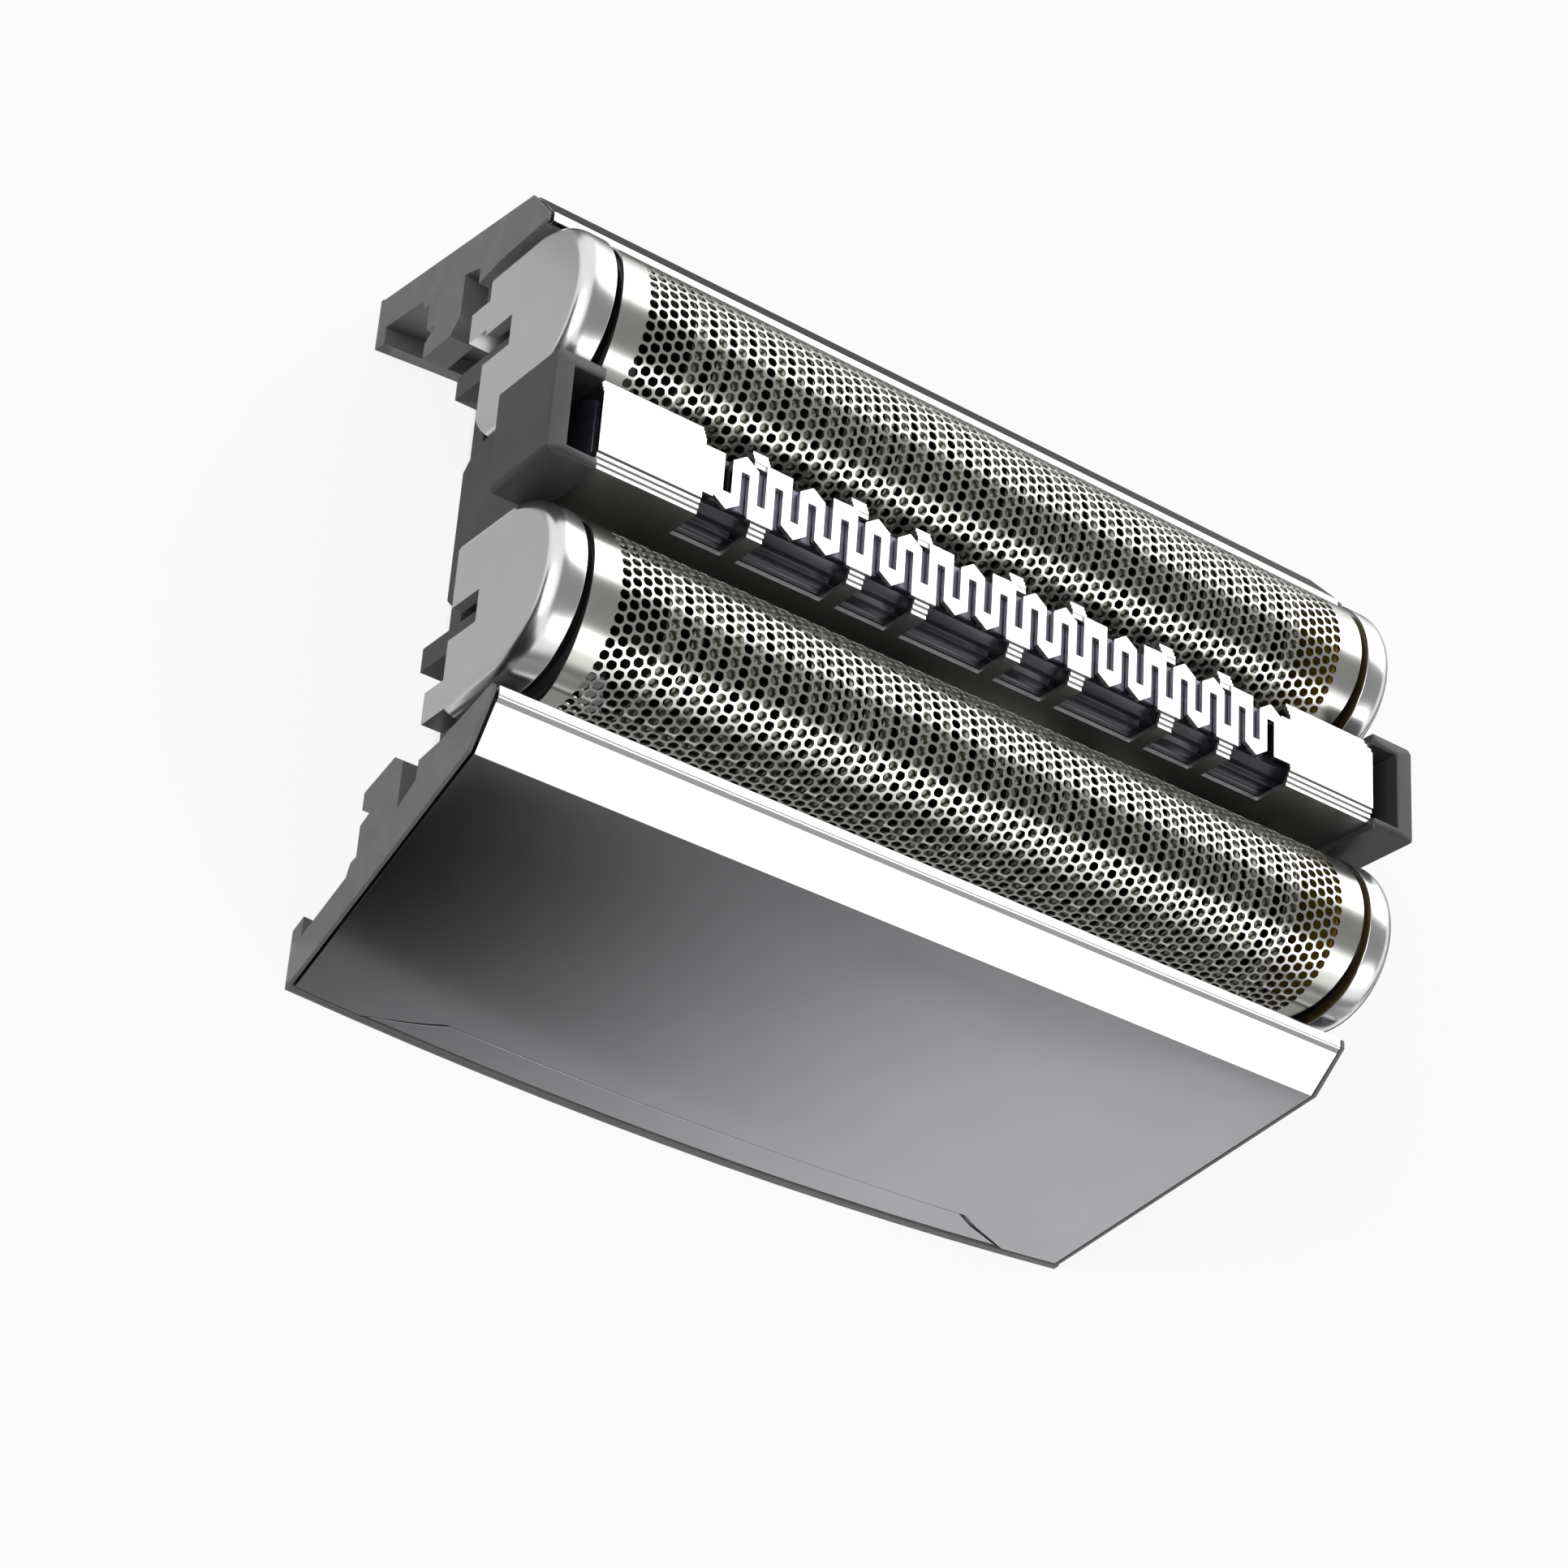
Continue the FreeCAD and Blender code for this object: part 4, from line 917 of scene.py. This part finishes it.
# Fades of the cards that brighten with distance: way, where they start and end, lowest share
FRONT_FADE = ((1.0, 0.874, 0), -0.0423, -0.0017)
REAR_FADE = ((0.5, 0.86, 0), 0.035, 0.15, 0.09)

# Cards that only reflections see: name, corners, tone and fade
FLAGS = (
    # Grey band along the foils, on the near side of the crown
    ("overhead_flag", level_card((-0.05, 0.40), (-0.18, 0.135), 0.26), "#8C8C8C", None),
    # Floor before the head: grey in the fascia's bevel, and a face that lightens to the right
    ("front_far_flag", level_card((-0.05, 0.12), (-0.20, -0.0455), ON_FLOOR), "#8C8C8C", None),
    ("front_floor_flag", level_card((-0.05, 0.08), (-0.0455, -0.0168), ON_FLOOR), "#FFFFFF",
     FRONT_FADE),
    # The lowest band of the fascia, less dark at its left end
    ("front_foot_flag", level_card((-0.05, 0.08), (-0.0225, -0.0168), OVER_FLOOR), "#FFFFFF",
     (*FRONT_FADE, 0.2)),
    # Floor behind the head: dark far sides of the arches, lighter towards the crown
    ("rear_floor_flag", level_card((-0.05, 0.20), (0.024, 0.25), ON_FLOOR), "#FFFFFF", REAR_FADE),
    # Mid grey in the front flank of the front foil, over the fascia's top
    ("front_gap_flag", upright_card((-0.020, -0.01085), (0.020, -0.01085), 0.0145,
                                    (0.0169, 0.0169)), "#9A9A9A", None),
    # Dark lines in what is turned low to the right
    ("right_low_flag", upright_card((0.25, -0.15), (0.25, 0.25), 0.0, (0.05, 0.05)),
     "#202020", None),
    ("right_floor_flag", level_card((0.0235, 0.10), (-0.015, 0.024), ON_FLOOR), "#404040", None),
    # Dark line low on the near side of the arches
    ("front_low_flag", upright_card((-0.05, -0.30), (0.30, -0.22), 0.0, (0.065, 0.055)),
     "#585858", None),
    # Light grey of the flat faces of the left caps
    ("left_floor_flag", level_card((-0.08, -0.0195), (-0.015, 0.06), ON_FLOOR), "#BCBCBC", None),
    # Black in the rounded rims of the left caps
    ("left_far_flag", [(-0.30, -0.30, OVER_FLOOR), (-0.05, -0.30, OVER_FLOOR),
                       (-0.05, -0.01, OVER_FLOOR), (-0.30, 0.03, OVER_FLOOR)], "#101010", None),
    ("left_low_flag", upright_card((-0.30, 0.10), (-0.16, -0.26), 0.0, (0.10, 0.17)),
     "#0C0C0C", None),
    ("front_left_flag", upright_card((-0.16, -0.26), (0.0, -0.31), 0.0, (0.17, 0.15)),
     "#0C0C0C", None),
)

FLOOR_REACH = 2.5            # metres from the middle to each edge of the floor
FIBRE = 0.6                  # mm, size of the paper's fibres
FIBRE_DEPTH = 0.02 * MM
FLOOR_WHITE = 0.88           # share of plain white in the floor that the eye sees
SHADE = {"X": 0.0150, "Y": 0.0160}  # half-sizes in metres of the floor that keeps its full shade
SHADE_EDGE = 0.002           # metres in which that shade ends, inwards

# Camera of the photograph, which holds the head rolled to the right
CAMERA_AXES = ((0.7994, 0.064, 0.5974), (-0.3391, 0.8689, 0.3607), (-0.4959, -0.4909, 0.7163))
CAMERA_PLACE_MM = (-85.676, -86.561, 128.674)
FRAME_WIDTH_MM = 36.0
CLIP = (0.01, 20.0)          # metres


def soft_box(name, direction, distance, size, level):
    """Square area light that faces the head, with its brightness given at its face."""
    light = bpy.data.lights.new(name, "AREA")
    light.shape = "SQUARE"
    light.size = size
    light.energy = level * math.pi * size * size
    lamp = bpy.data.objects.new(name, light)
    bpy.context.scene.collection.objects.link(lamp)
    away = Vector(direction).normalized()
    lamp.location = Vector(HEAD_MIDDLE) + away * distance
    lamp.rotation_mode = "QUATERNION"
    lamp.rotation_quaternion = away.to_track_quat("Z", "Y")


def fade_node(tree, direction, start, end, low=0.0):
    """Brightness that rises smoothly from one place to another along a direction, in metres."""
    place = add_node(tree, "ShaderNodeTexCoord")
    along = add_node(tree, "ShaderNodeVectorMath", settings={"operation": "DOT_PRODUCT"},
                     values={1: direction}, links={0: (place, "Object")})
    return add_node(tree, "ShaderNodeMapRange", settings={"interpolation_type": "SMOOTHSTEP"},
                    values={"From Min": start, "From Max": end, "To Min": low},
                    links={"Value": (along, "Value")})


def card(name, corners, hex_code, fade):
    """Matt card that only reflections see, as a flag beside the head, plain or fading across."""
    mesh = bpy.data.meshes.new(name)
    mesh.from_pydata([Vector(c) for c in corners], [], [list(range(len(corners)))])
    material = bpy.data.materials.new(name + "_card")
    material.use_nodes = True
    tree = material.node_tree
    tree.nodes.clear()
    glow = add_node(tree, "ShaderNodeEmission", values={"Color": srgb(hex_code), "Strength": 1.0})
    if fade:
        level = fade_node(tree, *fade)
        tree.links.new(level.outputs["Result"], glow.inputs["Strength"])
    add_node(tree, "ShaderNodeOutputMaterial", links={"Surface": (glow, "Emission")})
    mesh.materials.append(material)
    flag = bpy.data.objects.new(name, mesh)
    bpy.context.scene.collection.objects.link(flag)
    flag.visible_camera = False
    flag.visible_diffuse = False
    flag.visible_shadow = False
    flag.visible_transmission = False


def beside_head(tree):
    """Nought on the floor under the head, which stays in its shade, and one round it."""
    parts = point_parts(tree)
    beyond = []
    for name, size in SHADE.items():
        out = add_node(tree, "ShaderNodeMath", settings={"operation": "ABSOLUTE"},
                       links={0: (parts, name)})
        beyond.append(add_node(tree, "ShaderNodeMath", settings={"operation": "SUBTRACT"},
                               values={1: size}, links={0: (out, "Value")}))
    most = add_node(tree, "ShaderNodeMath", settings={"operation": "MAXIMUM"},
                    links={0: (beyond[0], "Value"), 1: (beyond[1], "Value")})
    return add_node(tree, "ShaderNodeMapRange", values={"From Min": -SHADE_EDGE, "From Max": 0.0},
                    links={"Value": (most, "Value")})


def seen_rays(tree):
    """One for camera, glossy and transmission rays and nought for those that light the head."""
    path = add_node(tree, "ShaderNodeLightPath")
    straight = add_node(tree, "ShaderNodeMath", settings={"operation": "MAXIMUM"},
                        links={0: (path, "Is Camera Ray"), 1: (path, "Is Glossy Ray")})
    return add_node(tree, "ShaderNodeMath", settings={"operation": "MAXIMUM"},
                    links={0: (straight, "Value"), 1: (path, "Is Transmission Ray")})


def make_floor(settings):
    """Pale paper floor that keeps a soft shadow and is nearly white to the eye."""
    mesh = bpy.data.meshes.new("floor")
    span = (-FLOOR_REACH, FLOOR_REACH)
    mesh.from_pydata(level_card(span, span, 0), [], [(0, 1, 2, 3)])
    floor = bpy.data.objects.new("floor", mesh)
    bpy.context.scene.collection.objects.link(floor)
    material = bpy.data.materials.new("matt_paper_white")
    material.use_nodes = True
    tree = material.node_tree
    tree.nodes.clear()
    place = add_node(tree, "ShaderNodeTexCoord")
    fibre = add_node(tree, "ShaderNodeTexNoise", values={"Scale": per_metre(FIBRE), "Detail": 3.0},
                     links={"Vector": (place, "Object")})
    relief = add_node(tree, "ShaderNodeBump", values={"Strength": 0.05, "Distance": FIBRE_DEPTH},
                      links={"Height": (fibre, "Fac")})
    paper = add_node(tree, "ShaderNodeBsdfDiffuse", values={"Color": tuple(settings.floor_colour)},
                     links={"Normal": (relief, "Normal")})
    part = add_node(tree, "ShaderNodeMath", settings={"operation": "MULTIPLY"},
                    values={1: FLOOR_WHITE}, links={0: (seen_rays(tree), "Value")})
    part = add_node(tree, "ShaderNodeMath", settings={"operation": "MULTIPLY"},
                    links={0: (part, "Value"), 1: (beside_head(tree), "Result")})
    white = add_node(tree, "ShaderNodeEmission", values={"Color": (1, 1, 1, 1), "Strength": 1.0})
    mix = add_node(tree, "ShaderNodeMixShader", links={
        0: (part, "Value"), 1: (paper, "BSDF"), 2: (white, "Emission")})
    add_node(tree, "ShaderNodeOutputMaterial", links={"Surface": (mix, "Shader")})
    mesh.materials.append(material)


def make_room(settings):
    """Even room light, with a white backdrop for the eye and for reflections."""
    world = bpy.data.worlds.new("studio")
    bpy.context.scene.world = world
    world.use_nodes = True
    tree = world.node_tree
    tree.nodes.clear()
    room, white = (
        add_node(tree, "ShaderNodeBackground", values={"Color": (1, 1, 1, 1), "Strength": level})
        for level in (settings.room_level, 1.0))
    mix = add_node(tree, "ShaderNodeMixShader", links={
        0: (seen_rays(tree), "Value"), 1: (room, "Background"), 2: (white, "Background")})
    add_node(tree, "ShaderNodeOutputWorld", links={"Surface": (mix, "Shader")})


def make_camera(settings):
    """Camera at the angle of the photograph."""
    data = bpy.data.cameras.new("camera")
    data.lens = settings.lens
    data.sensor_width = FRAME_WIDTH_MM
    data.clip_start, data.clip_end = CLIP
    camera = bpy.data.objects.new("camera", data)
    bpy.context.scene.collection.objects.link(camera)
    turn = Matrix(CAMERA_AXES).transposed()
    place = Vector(CAMERA_PLACE_MM) * MM
    camera.matrix_world = Matrix.Translation(place) @ turn.to_4x4()
    bpy.context.scene.camera = camera


class HEAD_OT_stage(bpy.types.Operator):
    """Set up the floor, the lights, the flags and the camera"""

    bl_idname = "foil_head.stage"
    bl_label = "Stage"

    def execute(self, context):
        settings = context.scene.head_stage
        context.scene.view_settings.view_transform = "Standard"
        make_floor(settings)
        make_room(settings)
        for name, (direction, distance, size, level) in BOXES.items():
            soft_box(name, direction, distance, size, getattr(settings, level))
        for flag in FLAGS:
            card(*flag)
        make_camera(settings)
        return {"FINISHED"}


# Panel, registration and the run

STEPS = ("stage", "foils", "cutters", "foil_units", "trimmer", "springs", "panels")


class HEAD_PT_sidebar(bpy.types.Panel):
    """Steps of the foil head"""

    bl_label = "Foil head"
    bl_idname = "HEAD_PT_sidebar"
    bl_space_type = "VIEW_3D"
    bl_region_type = "UI"
    bl_category = "Foil head"

    def draw(self, context):
        for step in STEPS:
            self.layout.operator("foil_head." + step)


GROUPS = {
    "head_foil": FoilSettings,
    "head_cutter": CutterSettings,
    "head_cap": CapSettings,
    "head_spring": SpringSettings,
    "head_edges": EdgeSettings,
    "head_stage": StageSettings,
}
CLASSES = (
    HEAD_OT_stage,
    HEAD_OT_foils,
    HEAD_OT_cutters,
    HEAD_OT_foil_units,
    HEAD_OT_trimmer,
    HEAD_OT_springs,
    HEAD_OT_panels,
    HEAD_PT_sidebar,
)


def register():
    for name, group in GROUPS.items():
        bpy.utils.register_class(group)
        setattr(bpy.types.Scene, name, bpy.props.PointerProperty(type=group))
    for cls in CLASSES:
        bpy.utils.register_class(cls)


def unregister():
    for cls in reversed(CLASSES):
        bpy.utils.unregister_class(cls)
    for name, group in GROUPS.items():
        delattr(bpy.types.Scene, name)
        bpy.utils.unregister_class(group)


def main():
    """Register the add-on and build everything in order."""
    register()
    for step in STEPS:
        getattr(bpy.ops.foil_head, step)()


if __name__ == "__main__":
    main()
